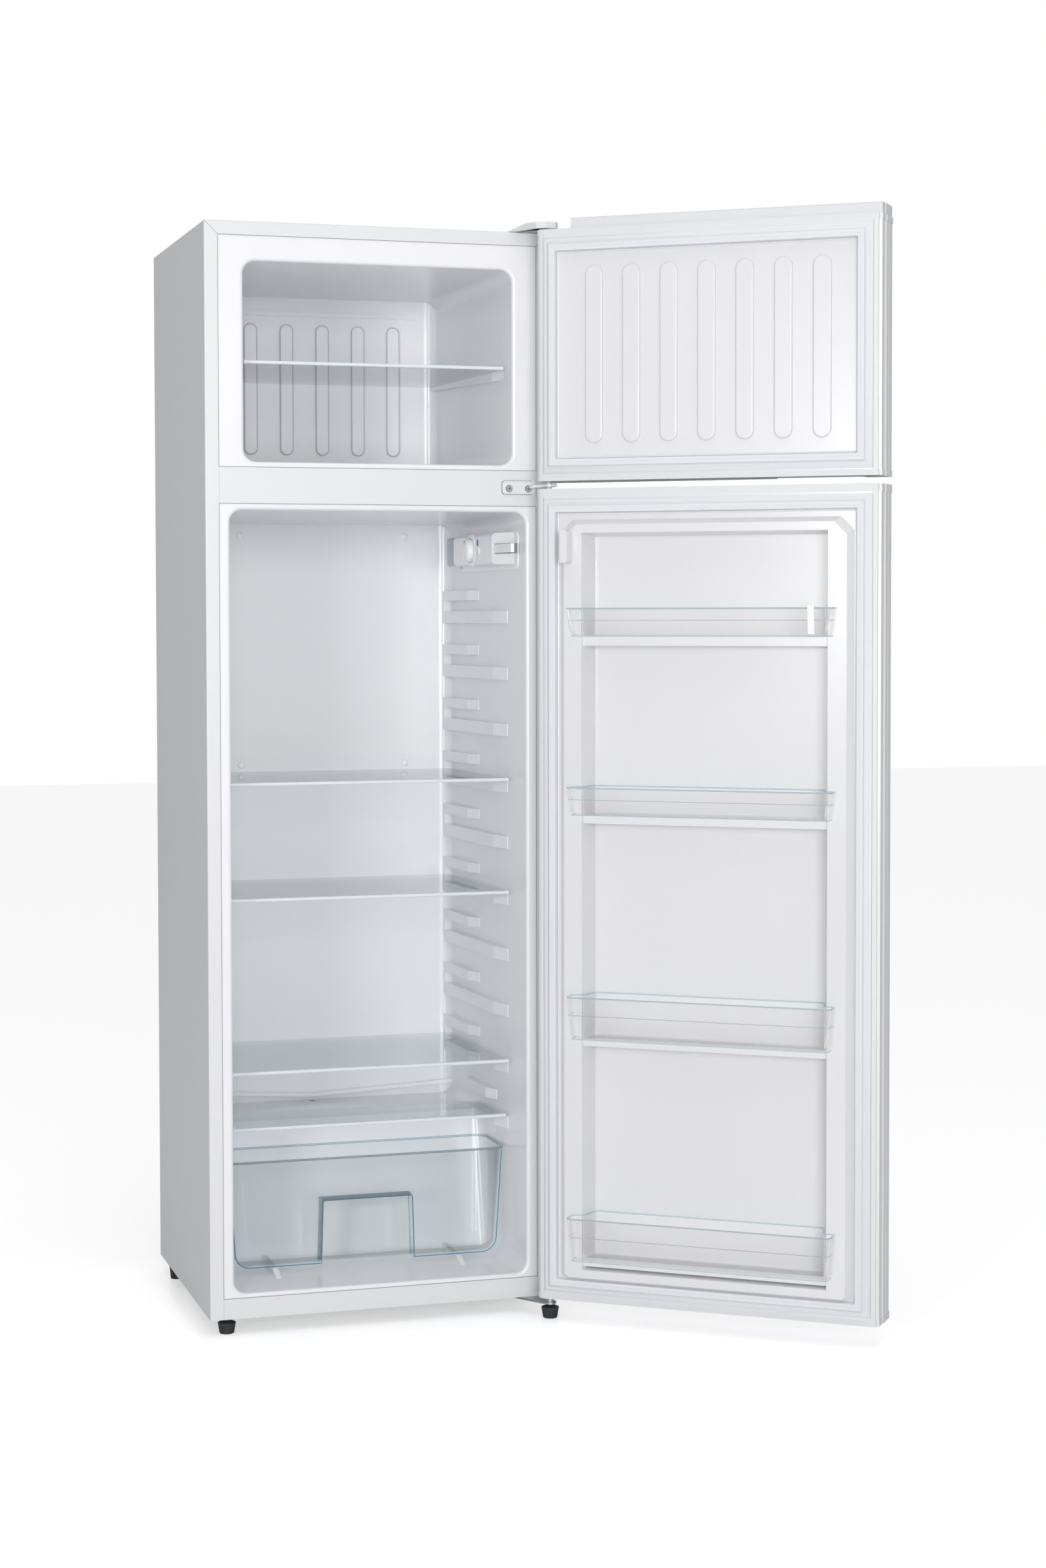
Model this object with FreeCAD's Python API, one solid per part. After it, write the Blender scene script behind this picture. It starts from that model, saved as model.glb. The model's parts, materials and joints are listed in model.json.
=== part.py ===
import FreeCAD, Part

import math
import os

# Top freezer refrigerator, free-standing, hinged on its right side.
# Millimetres, +Z up. X = 0 is the middle of the width, Y = 0 is the plane of the cabinet's
# front flange with +Y going into the cabinet, and Z = 0 is the floor under the feet.
# The doors are drawn closed and then turned about their pins to the angle they rest at.

# ---- overall sizes
WIDTH = 545.0
DEPTH = 465.0
CABINET_HEIGHT = 1677.0
FOOT_HEIGHT = 25.0
REST_ANGLE = 143.0

# ---- sheet and wall thicknesses
STEEL = 0.8
PLASTIC = 1.2
FLANGE = 21.0
REAR_FLANGE = 12.0
BEND_RADIUS = 2.0
LINER_LAP = 8.0
BACK_WALL = 60.0

# ---- front frame
RAIL_HEIGHT = 32.0
CENTRE_RAIL_HEIGHT = 56.0
CENTRE_RAIL_Z = FOOT_HEIGHT + CABINET_HEIGHT - 427.0

# ---- freezer compartment
FREEZER_HALF = WIDTH / 2 - 59.5
FREEZER_BOTTOM = CENTRE_RAIL_Z + 64.0
FREEZER_TOP = FOOT_HEIGHT + CABINET_HEIGHT - 59.0
FREEZER_DRAFT = 18.0
FREEZER_SHELF_Z = FREEZER_BOTTOM + 151.5
FREEZER_SHELF_FRONT = 31.0

# ---- fridge compartment
FRIDGE_HALF = WIDTH / 2 - 37.5
FRIDGE_BOTTOM = 63.0
FRIDGE_TOP = CENTRE_RAIL_Z - 9.0
FRIDGE_DRAFT = 15.0
FLOOR_RISE = 5.0
CORNER_RADIUS = 20.0
LIP_RADIUS = 5.0

# ---- machine compartment and the step it makes in the fridge compartment
MACHINE_DEPTH = 190.0
MACHINE_TOP = 245.0
STEP_TOP = 286.0
STEP_FRONT_TOP = 232.0
STEP_FRONT_BOTTOM = 190.0

# ---- shelf supports, counted up from the crisper cover
LEVEL_ZERO = 297.2
LEVELS = 10
LEVEL_PITCH = (FRIDGE_TOP - LEVEL_ZERO - 154.3) / (LEVELS - 1)
RIB_OUT = 12.0
LONG_RIB_HEIGHT = 20.0
SHORT_RIB_HEIGHT = 16.0
SLOT_HEIGHT = 18.0
UPPER_LEVEL = 6
MIDDLE_LEVEL = 4
LOWER_LEVEL = 1

# ---- shelves
GLASS = 4.0
SHELF_SIDE_GAP = 5.0
SHELF_FRONT = 76.0
COVER_FRONT = 92.0
COVER_BACK = 226.0
TRIM_HEIGHT = 5.2
TRIM_DEPTH = 8.0

# ---- crisper drawer
DRAWER_WALL = 2.0
DRAWER_FRONT = 98.0
DRAWER_TOP = 247.0
DRAWER_BOTTOM = 76.0
DRAWER_SIDE_GAP = 7.0
DRAWER_STEP_GAP = 8.0
GRIP_HALF = 72.0
GRIP_TOP = 177.0
GRIP_DEPTH = 26.0

# ---- doors
DOOR_GAP = 11.5
DOOR_THICKNESS = 70.0
DOOR_EDGE_IN = 12.5
PIN_INSET = 12.0
PIN_FORWARD = 39.5
PIN_RADIUS = 4.0
PIN_CLEARANCE = 0.08
FREEZER_DOOR_Z = (CENTRE_RAIL_Z + 37.0, FOOT_HEIGHT + CABINET_HEIGHT)
FRIDGE_DOOR_Z = (36.0, CENTRE_RAIL_Z + 25.0)
CAP_HEIGHT = 9.0
STRIP_RISE = 14.0
COVER_RISE = 10.0
STRIP_START = 55.0
DOOR_FOAM_MIN = 41.0
FREE_EDGE_OUT = 0.8
CAP_PROUD = 0.9
GASKET_WIDTH = 22.5
GASKET_INSET = 13.0
GASKET_SEAL_GAP = 0.5

# ---- fridge door liner and bins
DYKE_OUTER = 49.5
DYKE_INNER = 78.0
DYKE_DRAFT = 10.0
DYKE_TOP_Z = CENTRE_RAIL_Z - 31.0
DYKE_BOTTOM_Z = 76.0
DYKE_END = 12.0
BIN_WALL = 2.0
BIN_FRONT = 36.0
BIN_SIDE_GAP = 2.0
BIN_LOWEST = DYKE_BOTTOM_Z + 32.0
BIN_HIGHEST = DYKE_TOP_Z - 172.0
BIN_FLOORS = tuple(BIN_LOWEST + share * (BIN_HIGHEST - BIN_LOWEST)
                   for share in (0.0, 0.3568, 0.7152, 1.0))
BIN_HEIGHTS = (68.0, 67.0, 44.0, 44.0)
LEDGE_HEIGHT = 14.0

# ---- machine parts
COMPRESSOR_RADIUS = 76.0
COMPRESSOR_X = 70.0
TRAY_Z = 34.0
DRAIN_X = -25.0
TUBE_RADIUS = 2.4
CONDENSER_STAND_OFF = 14.0
CONDENSER_PASSES = 24
CONDENSER_PITCH = (CABINET_HEIGHT - 429.0) / CONDENSER_PASSES
WIRE_RADIUS = 0.8
WIRE_PITCH = 15.0

# ---- values that follow from the ones above
HALF = WIDTH / 2
BOTTOM = FOOT_HEIGHT
TOP = FOOT_HEIGHT + CABINET_HEIGHT
RAIL_TOP = BOTTOM + RAIL_HEIGHT
CENTRE_RAIL_TOP = CENTRE_RAIL_Z + CENTRE_RAIL_HEIGHT
BACK_Y = DEPTH - BACK_WALL
MACHINE_Y = DEPTH - MACHINE_DEPTH
PANEL_Y = DEPTH - 2 * STEEL
PIN_X = HALF - PIN_INSET
PIN_Y = -PIN_FORWARD
DOOR_INNER_Y = -DOOR_GAP
DOOR_OUTER_Y = -DOOR_GAP - DOOR_THICKNESS
RECESS_Y = DOOR_OUTER_Y + DOOR_FOAM_MIN + PLASTIC
BORE_RADIUS = PIN_RADIUS + PIN_CLEARANCE
STEP_SLOPE = (STEP_FRONT_TOP - STEP_FRONT_BOTTOM) / (STEP_TOP - FRIDGE_BOTTOM)

AXES = {"X": FreeCAD.Vector(1, 0, 0), "Y": FreeCAD.Vector(0, 1, 0), "Z": FreeCAD.Vector(0, 0, 1)}
NODES = {}


# ================================================================ shared shapes

def vec(x, y, z):
    return FreeCAD.Vector(x, y, z)


def box(x0, x1, y0, y1, z0, z1):
    return Part.makeBox(x1 - x0, y1 - y0, z1 - z0, vec(x0, y0, z0))


def place(axis, a, b, along):
    """Put a flat point (a, b) into space at a station along an axis."""
    if axis == "X":
        return vec(along, a, b)
    if axis == "Y":
        return vec(a, along, b)
    return vec(a, b, along)


def prism(points, axis, start, end):
    """Straight extrusion of a flat outline; the outline's points are in X, Y, Z order."""
    corners = [place(axis, a, b, start) for a, b in points]
    face = Part.Face(Part.makePolygon(corners + corners[:1]))
    solid = face.extrude(AXES[axis] * (end - start))
    if solid.Volume < 0:
        solid.reverse()
    return solid


def cylinder(axis, radius, a, b, start, end):
    return Part.makeCylinder(radius, end - start, place(axis, a, b, start), AXES[axis])


def fuse(shapes):
    whole = shapes[0].fuse(list(shapes[1:])) if len(shapes) > 1 else shapes[0]
    return whole.removeSplitter()


def cut(shape, tools):
    return shape.cut(tools if isinstance(tools, list) else [tools])


def is_along(edge, axis):
    first, last = edge.Vertexes[0].Point, edge.Vertexes[-1].Point
    run = last - first
    return run.Length > 1e-6 and abs(run.dot(AXES[axis])) > 0.999 * run.Length


def round_edges(solid, radius, axis, keep=lambda point: True):
    """Round the straight edges that run along an axis and whose middle passes a test."""
    edges = [e for e in solid.Edges if is_along(e, axis) and keep(e.CenterOfMass)]
    return solid.makeFillet(radius, edges) if edges else solid


def ring(x0, x1, z0, z1, width, y0, y1):
    """A flat rectangular frame of one width that stands in a plane facing Y."""
    inner = box(x0 + width, x1 - width, y0 - 1, y1 + 1, z0 + width, z1 - width)
    return box(x0, x1, y0, y1, z0, z1).cut(inner)


def tube_along(points, radius, bend):
    """A round tube along straight runs joined by arcs of one bend radius."""
    edges = []
    here = points[0]
    for before, corner, after in zip(points, points[1:], points[2:]):
        incoming = (corner - before).normalize()
        outgoing = (after - corner).normalize()
        turn = incoming.getAngle(outgoing)
        back = bend * math.tan(turn / 2)
        start = corner - incoming * back
        end = corner + outgoing * back
        inward = (outgoing - incoming).normalize()
        middle = corner + inward * (bend / math.cos(turn / 2) - bend)
        edges.append(Part.LineSegment(here, start).toShape())
        edges.append(Part.Arc(start, middle, end).toShape())
        here = end
    edges.append(Part.LineSegment(here, points[-1]).toShape())
    path = Part.Wire(edges)
    direction = (points[1] - points[0]).normalize()
    profile = Part.Wire(Part.makeCircle(radius, points[0], direction))
    return path.makePipeShell([profile], True, False)


def fridge_wall(y):
    """Half width of the fridge compartment at a depth."""
    return FRIDGE_HALF - FRIDGE_DRAFT * y / BACK_Y


def freezer_wall(y):
    """Half width of the freezer compartment at a depth."""
    return FREEZER_HALF - FREEZER_DRAFT * y / BACK_Y


def level(number):
    """Height of the glass's underside on a support level."""
    return LEVEL_ZERO + LEVEL_PITCH * number


def add(name, shape):
    NODES[name] = shape


# ================================================================ cabinet shell

def shell_block(inset, y0, y1, bottom):
    """Cabinet-sized block with the folded sheet's corner radii, inset from the outside."""
    radius = BEND_RADIUS - inset
    solid = box(-HALF + inset, HALF - inset, y0, y1, bottom, TOP - inset)
    solid = round_edges(solid, radius, "Y", lambda p: p.z > TOP - 50)
    return round_edges(solid, radius, "Z", lambda p: p.y < DEPTH / 2)


def outer_shell():
    outer = shell_block(0, 0, DEPTH, BOTTOM)
    inner = shell_block(STEEL, STEEL, DEPTH - STEEL, BOTTOM - 10)
    front = box(-HALF + FLANGE, HALF - FLANGE, -1, STEEL + 1, BOTTOM - 10, TOP - FLANGE)
    rear = box(-HALF + REAR_FLANGE, HALF - REAR_FLANGE, DEPTH - 2, DEPTH + 1,
               BOTTOM - 10, TOP - REAR_FLANGE)
    shell = cut(outer, [inner, front, rear])
    seams = []
    for side in (-1, 1):
        start = (side * (HALF - BEND_RADIUS - 0.5), TOP - BEND_RADIUS - 0.5)
        end = (side * (HALF - FLANGE - 1), TOP - FLANGE - 1)
        seams.append(prism([start, (start[0], start[1] - 0.5), (end[0], end[1] - 0.5), end],
                           "Y", -1, STEEL + 0.2))
    return cut(shell, seams)


def centre_rail():
    edge = HALF - FLANGE - 0.3
    face = box(-edge, edge, 0, STEEL, CENTRE_RAIL_Z + 0.3, CENTRE_RAIL_TOP - 0.3)
    legs = []
    for z in (CENTRE_RAIL_Z + LINER_LAP + 2, CENTRE_RAIL_TOP - LINER_LAP - 2 - STEEL):
        legs.append(box(-edge + 12, edge - 12, STEEL, 18, z, z + STEEL))
    return fuse([face] + legs)


def bottom_rail():
    edge = HALF - FLANGE - 0.3
    face = box(-edge, edge, 0, STEEL, BOTTOM, RAIL_TOP - 0.3)
    foot = box(-edge, edge, STEEL, 15, BOTTOM, BOTTOM + STEEL)
    return fuse([face, foot])


def compartment_panel():
    """Bent sheet under the foam: floor, compartment front, compartment roof and two cheeks."""
    inside = HALF - STEEL
    floor = box(-inside, inside, 15.2, MACHINE_Y, BOTTOM, BOTTOM + STEEL)
    front = box(-inside, inside, MACHINE_Y, MACHINE_Y + STEEL, BOTTOM, MACHINE_TOP + STEEL)
    roof = box(-inside, inside, MACHINE_Y, PANEL_Y, MACHINE_TOP, MACHINE_TOP + STEEL)
    parts = [floor, front, roof]
    for side in (-1, 1):
        x0, x1 = sorted((side * inside, side * (inside - STEEL)))
        parts.append(box(x0, x1, MACHINE_Y, PANEL_Y, BOTTOM, MACHINE_TOP))
    return fuse(parts)


# ================================================================ liners and foam

def liner_form(half, draft, floor_line, top, plate, grow):
    """Space taken by a compartment and the room in front of it.

    plate is the flange's lowest and highest Z; grow is 0 for the inner face of the
    liner and the liner's thickness for its outer face."""
    sag = 8.0
    ahead = 40.0
    back = BACK_Y + grow
    first, second = floor_line[0], floor_line[1]
    pitch = (second[1] - first[1]) / (second[0] - first[0])
    profile = [(-ahead, first[1] - pitch * ahead - grow)]
    profile += [(y + (grow if y >= BACK_Y else 0), z - grow) for y, z in floor_line[1:]]
    profile += [(back, top - sag + grow), (-ahead, top + sag * ahead / BACK_Y + grow)]
    section = prism(profile, "X", -HALF, HALF)
    wide = half + draft * ahead / BACK_Y + grow
    narrow = half - draft + grow
    plan = [(-wide, -ahead), (-narrow, back), (narrow, back), (wide, -ahead)]
    room = section.common(prism(plan, "Z", 0, TOP))

    def beside_wall(edge):
        start, end = edge.Vertexes[0].Point, edge.Vertexes[-1].Point
        near = min(abs(start.x), abs(end.x)) > narrow - 1 and start.x * end.x > 0
        return near and max(start.y, end.y) > 1 - ahead

    room = room.makeFillet(CORNER_RADIUS + grow, [e for e in room.Edges if beside_wall(e)])
    edge = HALF - FLANGE + LINER_LAP
    front = STEEL + (PLASTIC if grow else 0)
    slab = box(-edge, edge, -45, front, plate[0], plate[1])
    form = room.fuse(slab).removeSplitter()

    def at_opening(edge):
        spot = edge.CenterOfMass
        return abs(spot.y - front) < 0.01 and abs(spot.x) < wide + 1 and (
            plate[0] + 2 < spot.z < plate[1] - 2)

    lip = [e for e in form.Edges if at_opening(e)]
    return form.makeFillet(LIP_RADIUS - (PLASTIC if grow else 0), lip)


FRIDGE_FLOOR = [
    (0, FRIDGE_BOTTOM),
    (STEP_FRONT_BOTTOM, FRIDGE_BOTTOM + FLOOR_RISE),
    (STEP_FRONT_TOP, STEP_TOP),
    (BACK_Y, STEP_TOP),
]
FREEZER_FLOOR = [
    (0, FREEZER_BOTTOM),
    (BACK_Y, FREEZER_BOTTOM + 6),
]


def fridge_form(grow):
    return liner_form(FRIDGE_HALF, FRIDGE_DRAFT, FRIDGE_FLOOR, FRIDGE_TOP,
                      (RAIL_TOP - LINER_LAP, CENTRE_RAIL_Z + LINER_LAP), grow)


def freezer_form(grow):
    return liner_form(FREEZER_HALF, FREEZER_DRAFT, FREEZER_FLOOR, FREEZER_TOP,
                      (CENTRE_RAIL_TOP - LINER_LAP, TOP - FLANGE + LINER_LAP), grow)


def rib(side, z0, z1, y_back, y_flat, y_tip):
    """One shelf support: a bar along the drafted wall with a tapered front end."""
    root = 0.6
    points = [
        (side * (fridge_wall(y_back) + root), y_back),
        (side * (fridge_wall(y_back) - RIB_OUT), y_back),
        (side * (fridge_wall(y_flat) - RIB_OUT), y_flat),
        (side * (fridge_wall(y_tip) - 1.0), y_tip),
        (side * (fridge_wall(y_tip) + root), y_tip),
    ]
    return prism(points, "Z", z0, z1)


def shelf_supports():
    ribs = []
    for side in (-1, 1):
        for number in range(LEVELS):
            z = level(number)
            back = BACK_Y - 1 if number else STEP_FRONT_TOP - 2
            ribs.append(rib(side, z - LONG_RIB_HEIGHT, z - 0.3, back, 132, 92))
            upper = z + SLOT_HEIGHT
            if number:
                ribs.append(rib(side, upper, upper + SHORT_RIB_HEIGHT, BACK_Y - 1, 267, 240))
                ribs.append(rib(side, z - 1, upper + 1, BACK_Y - 1, BACK_Y - 10, BACK_Y - 14))
            else:
                ribs.append(rib(side, upper, upper + SHORT_RIB_HEIGHT, 290, 175, 150))
    return ribs


def drain_gutter():
    """Shallow V-shaped rim on the back wall that leads water to the drain hole."""
    low = STEP_TOP + 6
    reach = fridge_wall(BACK_Y) + 0.5
    points = [(-reach, low + 12), (DRAIN_X, low), (reach, low + 12),
              (reach, low + 18), (DRAIN_X, low + 6), (-reach, low + 18)]
    return prism(points, "Y", BACK_Y - 12, BACK_Y + 0.6)


def pill(x, z0, z1, half_width, y0, y1):
    """An upright bar with round ends, raised from a flat wall."""
    bar = box(x - half_width, x + half_width, y0, y1, z0 + half_width, z1 - half_width)
    ends = [cylinder("Y", half_width, x, z, y0, y1) for z in (z0 + half_width, z1 - half_width)]
    return fuse([bar] + ends)


def build_liners():
    fridge = fridge_form(PLASTIC).cut(fridge_form(0))
    runners = []
    for side in (-1, 1):
        x = side * 150.0
        ramp = [(66, FRIDGE_BOTTOM - 0.4), (104, DRAWER_BOTTOM - 0.5),
                (STEP_FRONT_BOTTOM + 1, DRAWER_BOTTOM - 0.5),
                (STEP_FRONT_BOTTOM + 1, FRIDGE_BOTTOM - 0.4)]
        runners.append(prism(ramp, "X", x - 4, x + 4))
    drain = cylinder("Z", 6.0, DRAIN_X, BACK_Y - 14, STEP_TOP - 5, STEP_TOP + 5)
    fridge = fuse([fridge] + shelf_supports() + [drain_gutter()] + runners)
    NODES["fridge_liner"] = fridge.common(fridge_form(PLASTIC)).cut(drain)

    freezer = freezer_form(PLASTIC).cut(freezer_form(0))
    extras = [pill(61.0 * n, FREEZER_BOTTOM + 35, FREEZER_TOP - 53, 10.5, BACK_Y - 4,
                   BACK_Y + 0.6) for n in range(-2, 3)]
    extras.append(box(-160, 160, BACK_Y - 4, BACK_Y + 0.6, FREEZER_TOP - 38, FREEZER_TOP - 31))
    for side in (-1, 1):
        y0, y1 = FREEZER_SHELF_FRONT + TRIM_DEPTH, BACK_Y - 1
        plan = [(side * (freezer_wall(y0) + 0.6), y0), (side * (freezer_wall(y0) - 9), y0 + 40),
                (side * (freezer_wall(y1) - 9), y1), (side * (freezer_wall(y1) + 0.6), y1)]
        z = FREEZER_SHELF_Z - 0.3
        wedge = prism([(y0 + 1, z), (y1, z), (y1, z - 5), (y0 + 24, z - 15), (y0 + 8, z - 12),
                       (y0 + 1, z - 4)], "X", -HALF, HALF)
        extras.append(prism(plan, "Z", z - 30, z).common(wedge))
    freezer = fuse([freezer] + extras)
    NODES["freezer_liner"] = freezer.common(freezer_form(PLASTIC))


def evaporator(x0, x1, z0, z1, passes):
    """Aluminium plate with a flat serpentine channel on its rear face."""
    y = BACK_Y + PLASTIC + 2
    plate = box(x0, x1, y, y + 1.5, z0, z1)
    channels = []
    pitch = (z1 - z0 - 30) / (passes - 1)
    for n in range(passes):
        z = z0 + 15 + pitch * n
        channels.append(box(x0 + 15, x1 - 15, y + 1.4, y + 5, z - 4, z + 4))
        if n < passes - 1:
            x = x1 - 19 if n % 2 else x0 + 19
            channels.append(box(x - 4, x + 4, y + 1.4, y + 5, z, z + pitch))
    return fuse([plate] + channels)


def build_insulation():
    """Foam block that fills the cabinet around both liners, with everything let into it."""
    inside = HALF - STEEL
    block = shell_block(STEEL, STEEL, PANEL_Y, BOTTOM + STEEL)
    machine = box(-inside, inside, MACHINE_Y, DEPTH, BOTTOM, MACHINE_TOP + STEEL)
    drain = cylinder("Z", 8.0, DRAIN_X, BACK_Y - 14, MACHINE_TOP - 5, STEP_TOP)
    tools = [machine, drain, fridge_form(PLASTIC), freezer_form(PLASTIC)]
    tools += [box(-inside, inside, 0, 16, BOTTOM, BOTTOM + 2 * STEEL)]
    tools += [NODES["centre_rail"], NODES["freezer_evaporator"], NODES["fridge_evaporator"]]
    tools += [NODES["hinge_screws"], foot_socket(LEFT_FOOT[0], LEFT_FOOT[1], 6.0)]
    return cut(block, tools)


# ================================================================ feet

LEFT_FOOT = (-HALF + 29, 20.0)
RIGHT_FOOT = (PIN_X, PIN_Y)
REAR_FOOT = (HALF - 17.0, DEPTH - 70.0)
STUD_RADIUS = 3.6
STUD_HEIGHT = 16.0
FOOT_BODY = 20.0


def foot_socket(x, y, extra):
    return cylinder("Z", STUD_RADIUS + PIN_CLEARANCE, x, y, FOOT_BODY, BOTTOM + STUD_HEIGHT + extra)


def foot(x, y, stud_top):
    """Tapered levelling foot: waisted base, conical neck and a stud."""
    base = Part.makeCone(11.5, 14.0, FOOT_BODY - 3, vec(x, y, 0), AXES["Z"])
    neck = Part.makeCone(14.0, 8.0, 2.0, vec(x, y, FOOT_BODY - 3), AXES["Z"])
    stud = cylinder("Z", STUD_RADIUS, x, y, 5, stud_top)
    return fuse([base, neck, stud])


def build_feet():
    add("left_foot", foot(LEFT_FOOT[0], LEFT_FOOT[1], BOTTOM + STUD_HEIGHT))
    add("right_foot", foot(RIGHT_FOOT[0], RIGHT_FOOT[1], HINGE_PLATE_Z + 12.0))
    rear = []
    for side in (-1, 1):
        x = side * REAR_FOOT[0]
        pad = Part.makeCone(11.5, 14.0, BOTTOM - 2, vec(x, REAR_FOOT[1], 0), AXES["Z"])
        rear.append(pad.fuse(cylinder("Z", 9, x, REAR_FOOT[1], 10, TRAY_Z)))
    add("rear_feet", Part.Compound(rear))


# ================================================================ hinges

HINGE_STEEL = 3.0
HINGE_PLATE_Z = BOTTOM - HINGE_STEEL
ARM_Z = (FREEZER_DOOR_Z[0] + FRIDGE_DOOR_Z[1]) / 2
SCREW_RADIUS = 2.0
SCREW_HEAD = 4.8
PIN_REACH = 16.0


def screw(axis, a, b, seat, tip):
    """Pan-head screw with a crossed slot; the shank runs from its seat to its tip."""
    step = 1 if tip > seat else -1
    shank = cylinder(axis, SCREW_RADIUS, a, b, min(seat, tip), max(seat, tip))
    head = cylinder(axis, SCREW_HEAD, a, b, min(seat, seat - 2.4 * step), max(seat, seat - 2.4 * step))
    low, high = sorted((seat - 2.5 * step, seat - 1.2 * step))
    slots = []
    for long, short in ((3.0, 0.6), (0.6, 3.0)):
        points = [(a - long, b - short), (a + long, b - short),
                  (a + long, b + short), (a - long, b + short)]
        slots.append(prism(points, axis, low, high))
    return cut(fuse([shank, head]), slots)


MIDDLE_SCREWS = [(HALF - 66, ARM_Z - 3.3), (HALF - 34.6, ARM_Z - 3.3)]
TOP_SCREWS = [(HALF - 38, 18.0), (HALF - 16, 18.0), (HALF - 27, 44.0)]
BOTTOM_SCREWS = [(HALF - 44, 26.0), (HALF - 44, 58.0)]


def build_hinges():
    plate_y = (-HINGE_STEEL, 0.0)
    left = HALF - 77
    arm_z = (ARM_Z - 2, ARM_Z + 2)
    plate = box(left, HALF - 22.5, plate_y[0], plate_y[1], ARM_Z - 12, ARM_Z + 8.5)
    plate = round_edges(plate, 5.0, "Y")
    arm_points = [(HALF - 30, plate_y[1]), (HALF - 22.5, plate_y[1]), (PIN_X + 9, PIN_Y + 10),
                  (PIN_X + 9, PIN_Y - 3), (PIN_X - 9, PIN_Y - 3), (PIN_X - 9, PIN_Y + 6),
                  (HALF - 30, PIN_Y + 22)]
    arm = prism(arm_points, "Z", arm_z[0], arm_z[1])
    nose = cylinder("Z", 9, PIN_X, PIN_Y - 3, arm_z[0], arm_z[1])
    pins = cylinder("Z", PIN_RADIUS, PIN_X, PIN_Y, FRIDGE_DOOR_Z[1] - PIN_REACH,
                    FREEZER_DOOR_Z[0] + PIN_REACH)
    stop = box(PIN_X + 2, PIN_X + 9, PIN_Y - 12, PIN_Y - 6, arm_z[0], arm_z[1] + 1.5)
    middle = fuse([plate, arm, nose, pins, stop])
    holes = [cylinder("Y", SCREW_RADIUS, x, z, -5, 1) for x, z in MIDDLE_SCREWS]
    add("middle_hinge", cut(middle, holes))

    top_z = (TOP, TOP + HINGE_STEEL)
    blade = prism([(HALF - 48, 56), (HALF - 4, 56), (HALF - 4, 0), (PIN_X + 9, PIN_Y),
                   (PIN_X - 9, PIN_Y), (PIN_X - 9, -8), (HALF - 48, 8)], "Z", top_z[0], top_z[1])
    nose = cylinder("Z", 9, PIN_X, PIN_Y, top_z[0], top_z[1])
    pin = cylinder("Z", PIN_RADIUS, PIN_X, PIN_Y, TOP - 2 - PIN_REACH, top_z[1])
    top = fuse([blade, nose, pin])
    holes = [cylinder("Z", SCREW_RADIUS, x, y, TOP - 1, TOP + 5) for x, y in TOP_SCREWS]
    add("top_hinge", cut(top, holes))

    low_z = (HINGE_PLATE_Z, BOTTOM)
    blade = prism([(HALF - 58, 72), (HALF - 30, 72), (HALF - 6, 30), (HALF - 3, PIN_Y),
                   (PIN_X - 10, PIN_Y - 4), (HALF - 58, 12)], "Z", low_z[0], low_z[1])
    nose = cylinder("Z", 9.5, PIN_X, PIN_Y, low_z[0], low_z[1])
    collar = cylinder("Z", 6.5, PIN_X, PIN_Y, low_z[1], FRIDGE_DOOR_Z[0] - 1.5)
    pin = cylinder("Z", PIN_RADIUS + 1, PIN_X, PIN_Y, low_z[1], FRIDGE_DOOR_Z[0] + PIN_REACH)
    bottom = fuse([blade, nose, collar, pin])
    holes = [cylinder("Z", SCREW_RADIUS, x, y, 20, 27) for x, y in BOTTOM_SCREWS]
    holes.append(cylinder("Z", STUD_RADIUS + PIN_CLEARANCE, PIN_X, PIN_Y, 20,
                          HINGE_PLATE_Z + 13.0))
    add("bottom_hinge", cut(bottom, holes))

    screws = [screw("Y", x, z, -HINGE_STEEL, 16) for x, z in MIDDLE_SCREWS]
    screws += [screw("Z", x, y, TOP + HINGE_STEEL, TOP - 14) for x, y in TOP_SCREWS]
    screws += [screw("Z", x, y, HINGE_PLATE_Z, BOTTOM + 14) for x, y in BOTTOM_SCREWS]
    add("hinge_screws", Part.Compound(screws))

    roof = TOP + COVER_RISE
    outline = [(HALF - 65, 66), (HALF - 0.5, 66), (HALF - 0.5, -50), (HALF - 6, -56),
               (HALF - 22, -57), (HALF - 36, -50), (HALF - 50, -22), (HALF - 65, 3)]
    cover = prism(outline, "Z", TOP + 0.2, roof)
    corners = [e for e in cover.Edges if e.CenterOfMass.y < -20 and e.Length < COVER_RISE + 1
               and abs(e.Vertexes[0].Z - e.Vertexes[-1].Z) > 1]
    cover = cover.makeFillet(4.0, corners)
    taper = prism([(HALF - 70, TOP + 1.4), (HALF - 65, TOP + 1.4), (HALF - 46, roof + 0.1),
                   (HALF - 70, roof + 0.1)], "Y", -DEPTH, DEPTH)
    cover = cover.cut(taper)
    hollow_line = [(HALF - 53, 63), (HALF - 3, 63), (HALF - 3, -47), (HALF - 20, -52),
                   (HALF - 33, -44), (HALF - 46, -16), (HALF - 53, 2)]
    hollow = prism(hollow_line, "Z", TOP - 1, roof - 2.0)
    add("top_hinge_cover", cover.cut(hollow))


# ================================================================ machine compartment

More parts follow.
